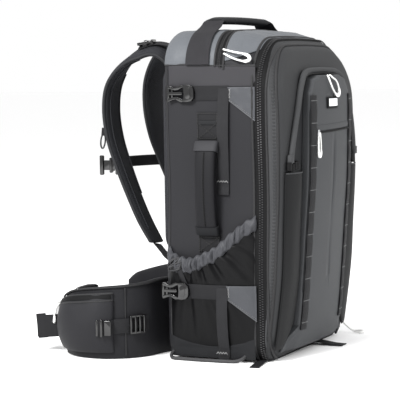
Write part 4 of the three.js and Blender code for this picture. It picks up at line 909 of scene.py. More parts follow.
gusset_out = np.stack(arch_point(np.linspace(0, 1, 121)), -1)
gusset_in = np.array([panel_exit(*p) for p in gusset_out])


def arch_surface(u, v):
    keys = np.linspace(0, 1, len(gusset_out))
    edges = [np.stack([np.interp(u, keys, line[:, k]) for k in (0, 1)], -1) for line in (gusset_in, gusset_out)]
    flat = blend(edges[0], edges[1], v[..., None])
    return lid_front(flat[..., 0], flat[..., 1])


skin("arch_gusset", arch_surface, (120, 6), dark_cloth, lift=1.0, node=True)
print_new("panel, ladder webbing and arch")

# %% [markdown]
# Two stretch pockets fill the lid's front beside the panel. They lie flat below and stand off a
# little at the top, where a light line of stitching holds the hem.

# %% Front pockets
def front_pocket(side):
    low_flare = 0.115 * PANEL_TALL + 9

    def place(u, v):
        x = 106 + 63 * u
        low = np.maximum(low_flare - 63 * u * 2 * (low_flare - 20) / (FLARE - 1) / PANEL_WIDE, 0.04 * TALL)
        return lid_front(side * x, low + (322 - low) * v)
    return place


def pocket_swell_front(u, v, s, t):
    return (9 * np.sin(np.pi * u) ** 0.8 * (0.25 + 0.75 * v)
            + 1.3 * np.sin(np.pi * u) * smooth_noise(u * 3, v * 3.4, 21) * (0.4 + v))


for side_name, side in SIDES:
    skin(f"front_pocket_{side_name}", front_pocket(side), (26, 70), stretch_cloth, lift=1.0,
         loose=True, slot="dark_cloth", node=True, swell=pocket_swell_front)
print_new("front pockets")

# %% [markdown]
# The side pockets are loose stretch cloth, drawn together at the top by a gathered hem of pale
# ripstop. Folds run from the gathers to the base. The folds are written as waves that widen
# downwards, since a simulated pocket would need the bag inside it to collide with.

# %% Side pockets and their gathered hems
def hem_height(rows, u):
    return read_table(rows, u) * TALL


def pocket_folds(u, v, s, t):
    """Long soft folds that start at the hem's lowest part and spread as they go down."""
    fan = (u - 0.3) / (0.35 + 0.65 * (1 - v)) + 0.3
    wave = (np.sin(2 * np.pi * 2.6 * fan + 0.6) + 0.5 * np.sin(2 * np.pi * 5.3 * fan + 2.2 + 0.8 * v))
    body = np.sin(np.pi * np.clip(u, 0, 1)) ** 0.5 * np.clip(v * 5, 0, 1)
    height = blend(POCKET_BASE, hem_height(hem_lower, u), v)
    body = body * (1 - 0.85 * np.exp(-(((height - 0.216 * TALL) / 17) ** 4)))
    return 3.4 * (wave + 0.4) * body * (0.35 + 0.65 * v) + 1.2 * smooth_noise(u * 6, v * 5, 31) * body


def gathers(u, v, s, t):
    """Bunched cloth between the gathers, uneven as drawn cloth is."""
    shift = 0.05 * smooth_noise(u * 7, 0 * u, 41)
    fold = np.abs(np.sin(np.pi * 10 * (u + shift))) ** 0.7
    fine = (1 - np.cos(2 * np.pi * 31 * (u + shift * 0.5) + 2 * v)) / 2
    high = 0.75 + 0.35 * smooth_noise(u * 11, v * 2, 43)
    deep = (8.4 - 3.6 * u) * fold * high + 1.8 * fine * (1 - 0.6 * u)
    return np.sin(np.pi * v) ** 0.7 * deep + 0.8 * smooth_noise(u * 40, v * 4, 44)


for side_name, side in SIDES:
    depth = POCKET_FRONT - POCKET_BACK
    skin(f"side_pocket_{side_name}",
         lambda u, v: on_pocket(side, POCKET_BACK + depth * u, blend(POCKET_BASE, hem_height(hem_lower, u) + 3, v)),
         (90, 60), pocket_cloth, thickness=1.5, lift=0.8, loose=True, slot="dark_cloth", node=True, swell=pocket_folds)
    skin(f"pocket_hem_{side_name}",
         lambda u, v: on_pocket(side, POCKET_BACK + depth * u,
                                blend(hem_height(hem_lower, u) - 1.5 * np.sin(2 * np.pi * 11 * u),
                                      hem_height(hem_upper, u) + 1.8 * np.sin(2 * np.pi * 11 * u + 1), v)),
         (260, 14), hem_cloth, thickness=3.0, lift=0.8, roll=5, slot="light_cloth", node=True, swell=gathers)
print_new("side pockets")

# %% [markdown]
# Compression straps: webbing from a buckle near the back to a sewn wing beside the zip, with a tail
# that hangs from it. A flat strap is a skin with a webbing weave. The helper here rounds a copy of a
# frame's buckle with a bevel, for the sternum and hip buckles; the straps' own buckles are moulded
# further on.

# %% Compression straps and wings
STRAP, WING_FRONT, WING_BACK = 25, POCKET_FRONT - 4, -0.38 * BACK
LEVELS = {"upper": (0.818, 0.82, 0.836, 0.735, 0.51, on_side, 0.0),
          "lower": (0.216, 0.9, 0.237, 0.129, 0.008, on_pocket, 3.2)}


def each_strap():
    """For each strap: its name to fill in, side, height, buckle's y, the wing's top and low end, the
    tail's low end, the surface below it, and how far it stands off that."""
    for side_name, side in SIDES:
        for level, (up, back, wing_top, wing_low, tail, on, cover) in LEVELS.items():
            yield (f"{level}_{{}}_{side_name}".format, side, up * TALL, back * BACK, wing_top * TALL, wing_low * TALL,
                   max(tail * TALL, 1.0), on, cover)


def soft_buckle(name, width):
    """A copy of the buckle's solid with its corners rounded, as moulded plastic has."""
    piece = new_object(name, bpy.data.objects[name].data.copy())
    merge_and_bevel(piece, width)
    piece.data.materials.clear()
    piece.data.materials.append(plastic)
    finish_piece(piece, name)


def merge_and_bevel(piece, width):
    weld = piece.modifiers.new("weld", "WELD")
    weld.merge_threshold = 0.00005
    bevel = piece.modifiers.new("bevel", "BEVEL")
    bevel.width, bevel.segments, bevel.limit_method, bevel.angle_limit = width * MM, 3, "ANGLE", 0.6
    seen = piece.evaluated_get(bpy.context.evaluated_depsgraph_get())
    mesh = bpy.data.meshes.new_from_object(seen)
    piece.modifiers.clear()
    piece.data = mesh
    mesh.polygons.foreach_set("use_smooth", np.ones(len(mesh.polygons), bool))
    mesh.set_sharp_from_angle(angle=math.radians(40))


# %% Straps, tails and wings
for name, side, z, start, wing_top, wing_low, tail, on, cover in each_strap():
    skin(name("strap"), lambda u, v: on(side, blend(start - 44, -0.4 * BACK, u), z + (v - 0.5) * STRAP, cover), (40, 6),
         webbing, lift=0.6, slot="webbing", roll=1.2, node=True)
    skin(name("strap_end"), lambda u, v: on(side, blend(89, start - 8, u), z + (v - 0.5) * 24, cover), (16, 6), webbing,
         thickness=1.4, lift=0.5, slot="webbing", roll=1.2)

    def tail_point(u, v):
        height = blend(z + 8, tail, v)
        middle = blend(-0.305, -0.255, v) * BACK
        over = np.abs(on(side, middle, np.maximum(height, POCKET_BASE))[..., 0])
        flat = np.maximum(over, side_x(middle, height)) + cover + 2.5 * np.sin(np.pi * v)
        return stack(side * flat, middle + (u - 0.5) * 20, height)

    def wing_point(u, v):
        return on(side, blend(WING_BACK, WING_FRONT, u), blend(blend(corner, wing_low, u), wing_top, v), cover)
    corner, u = z - STRAP * 0.42, np.linspace(0, 1, 30)
    skin(name("tail"), tail_point, (5, 70), tail_webbing, lift=2.2, slot="webbing", roll=1.2,
         swell=lambda u, v, s, t: 0.9 * np.sin(t / 31.0) + 2.0 * np.clip(v * 14 - 13, 0, 1))
    skin(name("wing"), wing_point, (30, 30), wing_cloth, thickness=1.0, lift=1.6, slot="light_cloth", node=True,
         swell=lambda u, v, s, t: 0.7 * smooth_noise(s / 14, t / 11, 51))
    edge = on(side, blend(WING_BACK, WING_FRONT, u), blend(corner, wing_low, u), cover + 2.4)
    tube(name("wing_piping"), edge, 0.9, light_piping)
print_new("compression straps")

# %% [markdown]
# The haul handle is wide webbing from both shoulder seams, sewn into a padded grip. The side handle
# is a padded grip that bows out between two sewn patches. Both are bands: a section swept along a
# line, which thins the grip where it is sewn down, as a bent cylinder would not.

# %% Handles
HAUL_Y = 20
haul_top = ((-119.3, HAUL_Y, 571.2), (-111.06, HAUL_Y, 577.6), (-104, HAUL_Y, 580.0))
haul_widths = (44, 43, 42, 41, 40, 39, 37, 35)
for side_name, side in SIDES:
    lifted = [bag_surface(SHOULDER + k, float(HAUL_Y)) + np.array([-math.cos(turn), 0, math.sin(turn)]) * 4.6
              for k, turn in enumerate(np.arange(5) / 6 * math.pi / 2)]
    lifted = np.array([*lifted, *haul_top]) * [-side, 1, 1]
    band(f"haul_webbing_{side_name}", [(p, (0, 1, 0), w, 2.8) for p, w in zip(lifted, haul_widths)],
         haul_webbing_finish, power=6, sides=24, step=3.0, node=True)
grip_stations = [(((s - 0.5) * 212, HAUL_Y, 580 + 1.5 * math.sin(math.pi * s)), (0, 1, 0), 34,
                  13 * min(1, 0.45 + 3 * math.sin(math.pi * s))) for s in np.linspace(0, 1, 15)]
band("haul_grip", grip_stations, dark_cloth, power=2.6, sides=32, node=True)

HANDLE_Y, HANDLE_LOW, HANDLE_HIGH = 0.03 * BACK, 0.386 * TALL, 0.675 * TALL


def handle_skin(name, wide, low, high, size, finish, **given):
    """A patch on the side face, centred on the side handle."""
    skin(name, lambda u, v: on_side(-1, HANDLE_Y + (u - 0.5) * wide, blend(low, high, v)), size, finish, slot="webbing",
         **given)


handle_skin("handle_patch_upper", 40, HANDLE_HIGH + 0.5, HANDLE_HIGH + 48, (16, 20), webbing, lift=0.5,
            node="side_grip_patch_top")
handle_skin("handle_patch_lower", 40, HANDLE_LOW - 29, HANDLE_LOW - 0.5, (16, 20), webbing, lift=0.5,
            node="side_grip_patch_bottom")


def grip_section(share):
    """How far the side grip bows out at a share of its height, from 0 to 1, and its thickness."""
    bow = math.sin(math.pi * share) ** 0.6
    return bow, 5 + 9 * min(1, 2 * bow)


def grip_point(share, out=0.0):
    """A point of the grip's middle line, pushed out."""
    return on_side(-1, HANDLE_Y, blend(HANDLE_LOW, HANDLE_HIGH, share), 4 + 17 * grip_section(share)[0] + out)


band("side_grip", [(grip_point(s), (0, 1, 0), 38 * (1 - 0.06 * grip_section(s)[0]), grip_section(s)[1])
                   for s in np.linspace(0, 1, 13)], grip_cloth, sides=32, node=True)
print_new("handles")

# %% [markdown]
# The harness: a tall back pad and a lumbar pad of spacer mesh over foam, curved shoulder straps with
# bound edges, load lifters, a sternum strap with its buckle, and the lower webbing. The pads are
# lofted from rounded rectangles, which gives them soft edges without a modifier. The straps are bands
# through the frame's own stations, since a cloth simulation would let them fall.

# %% Back pads
def pad_rings(half, low, high, thickness):
    rings = []
    for inset, out in ((3, 0), (0.6, 0.12), (0, 0.3), (0.2, 0.5), (1, 0.7), (3.5, 0.85), (7, 0.94), (11, 0.98),
                       (16, 1.0), (30, 1.0), (50, 1.0), (70, 1.0)):
        inset = min(inset, half - 6, (high - low) / 2 - 6)
        radius = max(28 - inset, 4)
        ring = []
        for x, z, start in ((half - inset - radius, low + inset + radius, -0.5),
                            (half - inset - radius, high - inset - radius, 0),
                            (-(half - inset - radius), high - inset - radius, 0.5),
                            (-(half - inset - radius), low + inset + radius, 1)):
            for k in range(13):
                turn = (start + k / 24) * math.pi
                ring.append((x + radius * math.cos(turn), 92.5 + out * thickness, z + radius * math.sin(turn)))
        rings.append(np.array(ring))
    return rings


rings_piece("back_pad", pad_rings(141, 181, 502, 16), pad_mesh)
rings_piece("lumbar_pad", pad_rings(88, 11, 156, 24), pad_mesh)

# %% Shoulder straps
REACH, STRAP_WIDE, STRAP_THICK = 242, 66, 14
strap_rows = np.array([
    (0.466, 0.88, 0.16, 0.95, 0.6, 0.0, 0.0), (0.53, 0.925, 0.165, 1, 0.8, 0.04, 0.12),
    (0.632, 0.956, 0.172, 1, 1, 0.06, 0.3), (0.774, 0.941, 0.193, 1, 1, 0.08, 0.36),
    (0.88, 0.905, 0.214, 1, 1, 0.08, 0.25), (0.96, 0.845, 0.232, 1, 1, 0.08, 0.1),
    (0.979, 0.77, 0.243, 1, 1, 0.08, 0), (0.945, 0.675, 0.253, 1, 1, 0.08, 0),
    (0.871, 0.587, 0.264, 0.98, 1, 0.1, 0), (0.775, 0.49, 0.273, 0.92, 1, 0.12, 0),
    (0.68, 0.41, 0.284, 0.85, 0.9, 0.1, 0), (0.585, 0.345, 0.292, 0.72, 0.6, 0.08, 0)])


def strap_stations(side):
    return [(np.array([side * across * WIDE, out * REACH, up * TALL]), np.array([side, -lean, -drop]),
             width * STRAP_WIDE, thick * STRAP_THICK) for out, up, across, width, thick, lean, drop in strap_rows]


strap_lines = {}
for side_name, side in SIDES:
    centre, across, width, thick = band(f"shoulder_strap_{side_name}", strap_stations(side), pad_mesh, power=2.9,
                                        sides=40, node=True)
    along = unit(np.gradient(centre, axis=0))
    wide = unit(across - along * (across * along).sum(-1, keepdims=True))
    strap_lines[side_name] = (centre, wide, width, thick)
    for end, sign in (("outer", 1), ("inner", -1)):
        tube(f"strap_binding_{side_name}_{end}", centre + wide * (sign * (width / 2 - 0.6))[:, None], 3.2, strap_cloth)

# %% Webbing of the harness
def flat_strap(name, points, across, width, finish=webbing, thickness=1.8, node=None):
    band(name, [(p, across, width, thickness) for p in points], finish, power=7, sides=20, step=3.0,
         node=node)


for side_name, side in SIDES:
    rows = strap_stations(side)
    end = rows[-1][0] + [0, -1.8, -3.6]
    x = side * 0.37 * WIDE
    low, sewn = np.array([x, 96.5, 159.0]), np.array([x, 93.5, 136.0])
    flat_strap(f"lower_webbing_{side_name}", [end, blend(end, low, 0.5) + [0, -3, -3], low, sewn], (1, 0, 0), 20,
               node=True)
    over = [(rows[k][0] + [0, 0, 8 + rise], rows[k][1], 20, 1.8) for k, rise in ((2, 3.0), (3, 3.8))]
    first = (np.array([side * 0.18 * WIDE, 93.5, 0.95 * TALL]), np.array([side, 0, 0]), 20, 1.8)
    band(f"load_lifter_{side_name}", [first, *over], webbing, power=7, sides=20, step=3.0, node=True)


def sternum_point(share):
    point = strap_stations(1)[8][0]
    return np.array([share * point[0], point[1] + 7 + 5.5 + 34 * (1 - share**2), 0.587 * TALL])


flat_strap("sternum_webbing", [sternum_point(s) for s in np.linspace(-1, 1, 13)], (0, 0, 1), 20, node=True)
soft_buckle("sternum_buckle", 1.2)
print_new("harness")

# %% [markdown]
# The hip belt has two padded wings that wrap forward; the left one carries a zipped pocket. A wing
# could be a bent box, but its height and its bend change together, so it is lofted through sections
# of the frame's own rows. The pocket is a swelled skin on the left wing, so it follows the same bend.

# %% Hip belt
ROOT_SIDE, ROOT_BACK = (88 + 2.1) / 250, (92.5 + 3.75 + 1.4) / 250
wing_rows = {
    -1: np.array([(ROOT_SIDE, ROOT_BACK, 1), (0.56, 0.47, 1), (0.72, 0.505, 0.98), (0.845, 0.6, 0.96),
                  (0.915, 0.75, 0.94), (0.9, 0.92, 0.9), (0.82, 1.04, 0.82), (0.73, 1.12, 0.73)]),
    1: np.array([(ROOT_SIDE, ROOT_BACK, 1), (0.53, 0.48, 1), (0.65, 0.54, 0.98), (0.73, 0.66, 0.95),
                 (0.755, 0.83, 0.92), (0.73, 1.0, 0.88), (0.655, 1.16, 0.81), (0.56, 1.3, 0.72)])}
WING_LONG, WING_HIGH, WING_THICK = 250, 134, 15


def wing_at(side, share, push=0.0):
    """x, y and the top of a wing at a share of its length, pushed outwards."""
    rows = wing_rows[side]
    keys = np.arange(len(rows))
    at = np.clip(share, 0, 1) * (len(rows) - 1)

    def read(column, where):
        return read_table(list(zip(keys, rows[:, column])), where)
    here = np.stack([read(0, at), read(1, at)], -1) * WING_LONG
    along = unit(np.stack([read(column, at + 0.05) - read(column, at - 0.05) for column in (0, 1)], -1))
    here = here + np.stack([along[..., 1], -along[..., 0]], -1) * np.asarray(push)[..., None]
    return side * here[..., 0], here[..., 1], read(2, at) * WING_HIGH


def wing_ring(side, share):
    thick = WING_THICK * (0.5 if share < 0.06 else blend(0.5, 1, min(1, (share - 0.06) / 0.08)))
    thick *= 1 if share < 0.93 else blend(1, 0.5, (share - 0.93) / 0.07)
    cut = 0.1 * np.clip((share - 0.93) / 0.07, 0, 1) ** 2
    oval = superellipse(44, 5.0)
    up = (oval[:, 1] + 1) / 2
    x, y, top = wing_at(side, np.full(44, share), oval[:, 0] * thick * 0.5 * (0.75 + 0.25 * np.sin(math.pi * up)))
    return stack(x, y, 0.4 + (cut + up * (1 - 2 * cut)) * (top - 0.4))


# %% Wings, pocket and tips
for side_name, side in SIDES:
    rings_piece(f"hip_wing_{side_name}", [wing_ring(side, s) for s in np.linspace(0, 1, 70)], belt_cloth)


def hip_swell(u, v=0.5):
    """How far the hip pocket stands out, at shares of its length and height."""
    return 20 * np.sin(np.pi * np.clip(u, 0, 1)) ** 0.5 * np.sin(np.pi * v) ** 0.6


def hip_line(shares, height, push):
    """Points of the left wing, pushed out, at a share of its height there."""
    x, y, top = wing_at(-1, shares, WING_THICK / 2 + push)
    return stack(x, y, top * height)


def hip_pocket_point(u, v):
    return hip_line(blend(0.5, 0.96, u), blend(0.1, 0.92, v), hip_swell(u, v))


skin("hip_pocket", hip_pocket_point, (70, 40), side_cloth, lift=0.7, loose=True, node=True,
     swell=lambda u, v, s, t: 0.9 * smooth_noise(s / 30, t / 26, 61))
for side_name, side in SIDES:
    before, tip = (np.array([*wing_at(side, share)[:2], 0.42 * WING_HIGH]) for share in (0.93, 1.0))
    along = unit(tip - before)
    flat_strap(f"hip_webbing_{side_name}", [tip + along * s for s in (0.8, 16, 38, 60)], (0, 0, 1), 37.5, node=True)
    soft_buckle(f"hip_buckle_{side_name}", 1.6)
print_new("hip belt")

# %% [markdown]
# Small goods: the bare plate, the webbing loop at the front's lower edge, the cord at the left lower
# edge, and the five pulls. Each pull is a loop of cord with a thicker moulded end. The cords are
# tubes along the frame's own routes, so that each has the length it has there.

# %% Plate and front loop
PLATE_Z = 0.9 * PANEL_TALL
skin("plate", lambda u, v: panel_front(blend(-32, 6, u), blend(PLATE_Z - 5.5, PLATE_Z + 7.5, v)), (20, 8), plate,
     thickness=1.4, lift=2.6, slot="plate", node="badge_plate")
skin("plate_backing", lambda u, v: panel_front(blend(-37, 10, u), blend(PLATE_Z - 9.5, PLATE_Z + 10.5, v)), (16, 8),
     shadow_tape, lift=1.4, slot="plastic")
seam_y = lid_front_y(42.0, 6.0) + 1.6
loop_points = [(42, seam_y, 6), (42, seam_y - 13.25, 5), (42, seam_y - 34.45, 2.2), (42, seam_y - 53, 1.6)]
flat_strap("front_loop", loop_points, (1, 0, 0), 25, finish=tail_webbing, node="base_loop")

# %% Cords
side_route = [(-172, 72, 14), (-178, 74, 12), (-184, 75, 8), (-190, 72, 4.5), (-194, 64, 3.4), (-195, 50, 3.4),
              (-196, 30, 3.4), (-196, 8, 3.4), (-195, -14, 3.4), (-194, -34, 3.4), (-191, -46, 3.6), (-187, -54, 5),
              (-182, -59, 8), (-178, -61, 11), (-174, -62, 14)]
pull_routes = {
    "top_pull": [(-171.6, -25, 530), (-175, -32, 528.5), (-178.3, -48, 525), (-178.8, -64, 522), (-179, -74, 518),
                 (-179.2, -76, 513), (-179.4, -70, 509.5), (-179.6, -54, 512), (-178.6, -38, 518), (-176.6, -28, 523)],
    "centre_pull": [(-24, -155.9, 483.6), (-27, -159.2, 479), (-24, -161.5, 470), (-14, -162.8, 458),
                    (-2, -163.6, 450), (9, -163.4, 448), (15, -162.8, 454), (13, -162, 464), (4, -161.2, 474),
                    (-8, -159, 479.5), (-14, -156.2, 484)],
    "slit_pull": [(-74, -157.6, 386), (-77.5, -158.8, 374), (-78, -158.9, 360), (-76.5, -158.9, 350), (-73, -159, 345),
                  (-69.5, -159.2, 350), (-68, -159.3, 360), (-69, -159.3, 374), (-71, -159, 386)],
    "right_pull": [(180.1, -95, 34), (182.6, -101, 26), (186, -109, 15), (188, -118, 6), (190, -130, 2.2),
                   (188, -141, 2), (182.5, -145, 2), (178, -139, 2.2), (178.5, -126, 5), (180.5, -112, 14),
                   (182, -102, 24)],
    "hip_pull": [(-196.6, 284.2, 93.5), (-201.6, 289.6, 89), (-205, 293.5, 78), (-205, 294, 64), (-203, 295.5, 57),
                 (-200, 297.5, 55), (-197, 298, 59), (-196, 297, 70), (-195.5, 294.5, 81), (-193.8, 287.4, 88.5)]}


def cord_piece(name, node, route, diameter, finish, grip=None):
    """A cord along the frame's own route, with its real length. Grip holds the shares of it
    between which a moulded end covers it."""
    path = resample(route, step=diameter * 0.5)
    piece = tube(name, path, diameter / 2, finish, sides=12, node=node)
    if grip:
        first, last = (int(len(path) * share) for share in grip)
        bulge = diameter / 2 * (1.15 + 0.75 * np.sin(np.linspace(0, math.pi, last - first)) ** 0.5)
        tube(f"{name}_end", path[first:last], bulge, white_grip, sides=14)


cord_piece("lower_cord", "side_cord", side_route, 6.0, grey_cord)
for node, route in pull_routes.items():
    cord_piece(f"{node}_cord", node, route, 3.0, white_cord, (0.38, 0.66))
print_new("plate, loop and cords")

# %% [markdown]
# Moulded goods: side-release buckles, ladder locks and keepers. Each is a few flat shapes with
# thickness, set in a local frame of along, up and out, with rounded edges from a bevel. Such parts
# are drawn flat in the mould too, so this needs no sculpting and no cutting of one body by another.

# %% Moulded shapes
def moulded(name, shapes, place, node=None, finish=plastic, width=0.7):
    """Flat shapes with thickness, each (outline, low, high) in a local frame that place() leaves."""
    points, faces = [], []
    for flat, low, high in shapes:
        count, start = len(flat), sum(len(p) for p in points)
        points += [place(np.column_stack([flat, np.full(count, h)])) for h in (low, high)]
        ring = [start + k for k in range(count)]
        faces += [ring[::-1], [k + count for k in ring]]
        faces += [[a, b, b + count, a + count] for a, b in zip(ring, ring[1:] + ring[:1])]
    mesh = bpy.data.meshes.new(name)
    mesh.from_pydata((np.concatenate(points) * MM).tolist(), [], faces)
    piece = new_object(name, mesh)
    bm = bmesh.new()
    bm.from_mesh(mesh)
    bmesh.ops.recalc_face_normals(bm, faces=bm.faces)
    bm.to_mesh(mesh)
    bm.free()
    merge_and_bevel(piece, width)
    piece.data.materials.append(finish)
    finish_piece(piece, node)


def framed(origin, along, up):
    """Places a local (along, up, out) point at an origin in the bag's frame."""
    along, up = unit(np.array(along, float)), unit(np.array(up, float))
    return lambda p: np.array(origin, float) + p @ np.stack([along, up, np.cross(along, up)])


def rectangle(a0, a1, b0, b1, corner=1.5):
    """A rectangle with cut corners."""
    return [(a0 + corner, b0), (a1 - corner, b0), (a1, b0 + corner), (a1, b1 - corner), (a1 - corner, b1),
            (a0 + corner, b1), (a0, b1 - corner), (a0, b0 + corner)]


# %% Buckles
prong = [(2, 8.2), (8, 7.2), (15, 5.4), (21, 6.2), (27, 9.5), (30, 10.5), (30, 14), (26, 14.6), (21, 12.6), (16, 9.6),
         (10, 11), (4, 13.5), (1, 13.5)]
shapes_of_buckle = [(prong, 1.6, 7.2), ([(a, -b) for a, b in prong][::-1], 1.6, 7.2),
                    (rectangle(0, 4, -12.5, 12.5), 0.8, 6.4), (rectangle(3, 28, -2.6, 2.6), 2.2, 6.8),
                    (rectangle(7, 10.5, -8.5, 8.5), 1.2, 6.2),
                    ([(29, -13.8), (38, -14.4), (45, -13), (49, -9), (50, -4), (50, 4), (49, 9), (45, 13), (38, 14.4),
                      (29, 13.8), (31.5, 8.5), (32, 0), (31.5, -8.5)], 0.6, 8.2),
                    (rectangle(34, 44, -9.5, 9.5, 3), 7.9, 8.9)]
for name, side, z, back_y, *_ in each_strap():
    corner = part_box(name("buckle"))
    seat = (min if side > 0 else max)(corner[0][0], corner[1][0]) / MM
    moulded(name("buckle") + "_shell", shapes_of_buckle,
            lambda p: np.array((seat, back_y, z)) + p[:, [2, 0, 1]] * [side, -1, 1], name("buckle"))
print_new("buckles")

lock = [(rectangle(0, 30, 12.5, 16, 1.2), 0, 4.5), (rectangle(0, 30, -16, -12.5, 1.2), 0, 4.5),
        *[(rectangle(a, a + 3.6, -15, 15, 1.0), 0.6, 4.8) for a in (0, 8.6, 17.4, 26.4)]]


def share_at(y):
    """The share of the left wing's length where its outer face reaches a given y."""
    shares = np.linspace(0.05, 0.95, 200)
    return float(np.interp(y, wing_at(-1, shares, WING_THICK / 2)[1], shares))


def wing_frame(share, height, push):
    """A frame on the left wing's outer face: along the wing to its tip, up, and out."""
    here, ahead = (np.array([*wing_at(-1, at, push)[:2], height]) for at in (share, share + 0.02))
    along = unit(ahead - here)
    out = np.array([-along[1], along[0], 0])
    return lambda p: here + p @ np.stack([along, [0, 0, 1], -out * np.sign(out[0])])

# %% [markdown]
# The side handle's patches carry a stitched box with a cross. Its grip has a folded collar at the
# top, a shorter one below, and a seam down its middle. The straps' tails end in a folded tab with a
# white tack. These stitches are dashes from the repeating tree.

# %% Stitches and small tabs on the sides
TACK_AWAY = 2.5 * math.sin(math.pi * 0.12) + 5.1  # from the cloth below a tail to its tack


def dashes(name, lines, finish=light_thread, long=2.4, gap=1.5, wide=0.8):
    repeat_blocks(name, lines, long + gap, (long, wide, 0.5), finish)


def side_line(side, points, lift, on=on_side):
    """A stitched line through (y, z) points on the side face."""
    points = np.array(points, float)
    keys = np.linspace(0, len(points) - 1, 14 * (len(points) - 1) + 1)
    y, z = (np.interp(keys, np.arange(len(points)), points[:, k]) for k in (0, 1))
    return on(side, y, z, lift), (side, 0, 0)


LEFT, RIGHT = HANDLE_Y - 18, HANDLE_Y + 18
for name, low, high in (("upper", HANDLE_HIGH + 3, HANDLE_HIGH + 30), ("lower", HANDLE_LOW - 27, HANDLE_LOW - 3)):
    a, b, c, d = (LEFT, low), (RIGHT, low), (RIGHT, high), (LEFT, high)
    dashes(f"handle_stitches_{name}", [side_line(-1, path, 3.6) for path in ((a, b, c, d, a), (a, c), (d, b))],
           patch_thread, wide=1.3)
box = [(LEFT, HANDLE_HIGH + 33), (LEFT, HANDLE_HIGH + 46), (RIGHT, HANDLE_HIGH + 46), (RIGHT, HANDLE_HIGH + 33)]
dashes("handle_stitches_fold", [side_line(-1, box, 3.6)], patch_thread, wide=1.3)
handle_skin("handle_fold", 37, HANDLE_HIGH + 26, HANDLE_HIGH + 34, (10, 8), dark_cloth, thickness=2.4, lift=1.6, roll=3)


def grip_face(share, out):
    return grip_point(share, grip_section(share)[1] / 2 + out)


for name, low, high, wide, finish in (("top", 0.885, 0.985, 43, collar_cloth), ("bottom", 0.015, 0.1, 42, dark_cloth)):
    band(f"grip_collar_{name}", [(grip_point(s), (0, 1, 0), wide, grip_section(s)[1] + 3)
                                 for s in np.linspace(low, high, 5)], finish, power=4, sides=30, step=2.5)
tube("grip_seam", [grip_face(s, 0.2) for s in np.linspace(0.1, 0.88, 40)], 1.1, shadow_tape)
tacks = [(np.array([grip_face(s, 0.7) + [0, b, 0] for b in (-1.4, 1.4)]), (-1, 0, 0))
         for s in np.linspace(0.12, 0.86, 46)]
repeat_blocks("grip_seam_stitches", tacks, 1.4, (1.3, 0.5, 0.5), dark_thread)

# %% Stitches of the wings and tails
for name, side, z, _, top, low, tail, on, cover in each_strap():
    corner, back_y = z - 10.5, WING_BACK - 3
    zigzag = [(WING_BACK - (2.6 if k % 2 else 5.2), blend(top - 3, corner + 2, k / 15)) for k in range(16)]
    dashes(name("wing_stitches"), [side_line(side, zigzag, cover + 3.0, on)], white_thread, 1.5, 0.8, 0.6)
    hem = [(blend(WING_BACK, WING_FRONT, share), height) for share, height in ((0.03, corner + 1), (0.97, low + 5))]
    dashes(name("wing_hem"), [side_line(side, hem, cover + 2.9, on)])
    middle = -0.26 * BACK
    out = max(abs(on(side, middle, max(tail + 38, POCKET_BASE), cover)[0]), side_x(middle, tail + 38)) + TACK_AWAY
    tack_z = tail + (23 if on is on_side else 12)
    tack = [(np.array([[side * out, middle + b, tack_z + turned], [side * out, middle + b + 2.4, tack_z - turned]]),
             (side, 0, 0)) for b, turned in zip(np.arange(-9, 8, 2.4), (-1.2, 1.2) * 4)]
    repeat_blocks(name("tail_tack"), tack, 1.3, (1.4, 0.9, 0.6), white_thread)
    if on is on_pocket:  # once on each side
        tube(f"back_seam_{'left' if side < 0 else 'right'}", on_side(side, 80.0, np.linspace(70, 498, 90), 0.3), 0.9,
             piping)
print_new("stitches and tabs")

# %% [markdown]
# The side pocket has a wide band at its base, a vertical seam, and a drawcord at its gathered hem with
# a knot and a webbing tab. The knot is four loops of cord turned against each other: a tied one would
# take a rope simulation for something a few pixels wide.

# %% Pocket seams and drawcord
for side_name, side in SIDES:
    skin(f"pocket_base_band_{side_name}",
         lambda u, v: on_pocket(side, blend(POCKET_BACK, POCKET_FRONT, u),
                                blend(5, 31 + 44 * (0.5 - u) ** 2 - 5 * np.sin(np.pi * u), v)),
         (60, 12), dark_cloth, thickness=1.0, lift=2.4, slot="dark_cloth",
         swell=lambda u, v, s, t: 0.8 * smooth_noise(s / 20, t / 15, 71))
    tube(f"pocket_back_edge_{side_name}", on_pocket(side, POCKET_BACK - 1, np.linspace(22, 158, 40), 2.4), 1.5, piping)
    knot = on_pocket(side, 60.0, 166.0, 8)
    a = np.linspace(0, 2 * math.pi, 26)[:-1]
    for k, (dy, dz, turn) in enumerate(((0, 0, 0.0), (5, 3, 1.1), (-5, -2, 2.3), (2, -7, 0.5))):
        loop = knot + np.stack([side * (2.5 * np.sin(2 * a + turn)), dy + 12 * np.cos(a + turn) * (0.8 + 0.2 * k / 3),
                                dz + 9.0 * np.sin(a) * (1 - 0.15 * k)], -1)
        tube(f"drawcord_loop_{side_name}_{k}", loop, 1.7, tail_cord)
    skin(f"drawcord_tab_{side_name}",
         lambda u, v: on_pocket(side, blend(55, 36, v) + (u - 0.5) * 13, blend(160, 128, v) + (u - 0.5) * 6,
                                3 * np.sin(math.pi * v)),
         (8, 24), webbing, lift=4.2, slot="webbing")
print_new("pocket seams and drawcords")
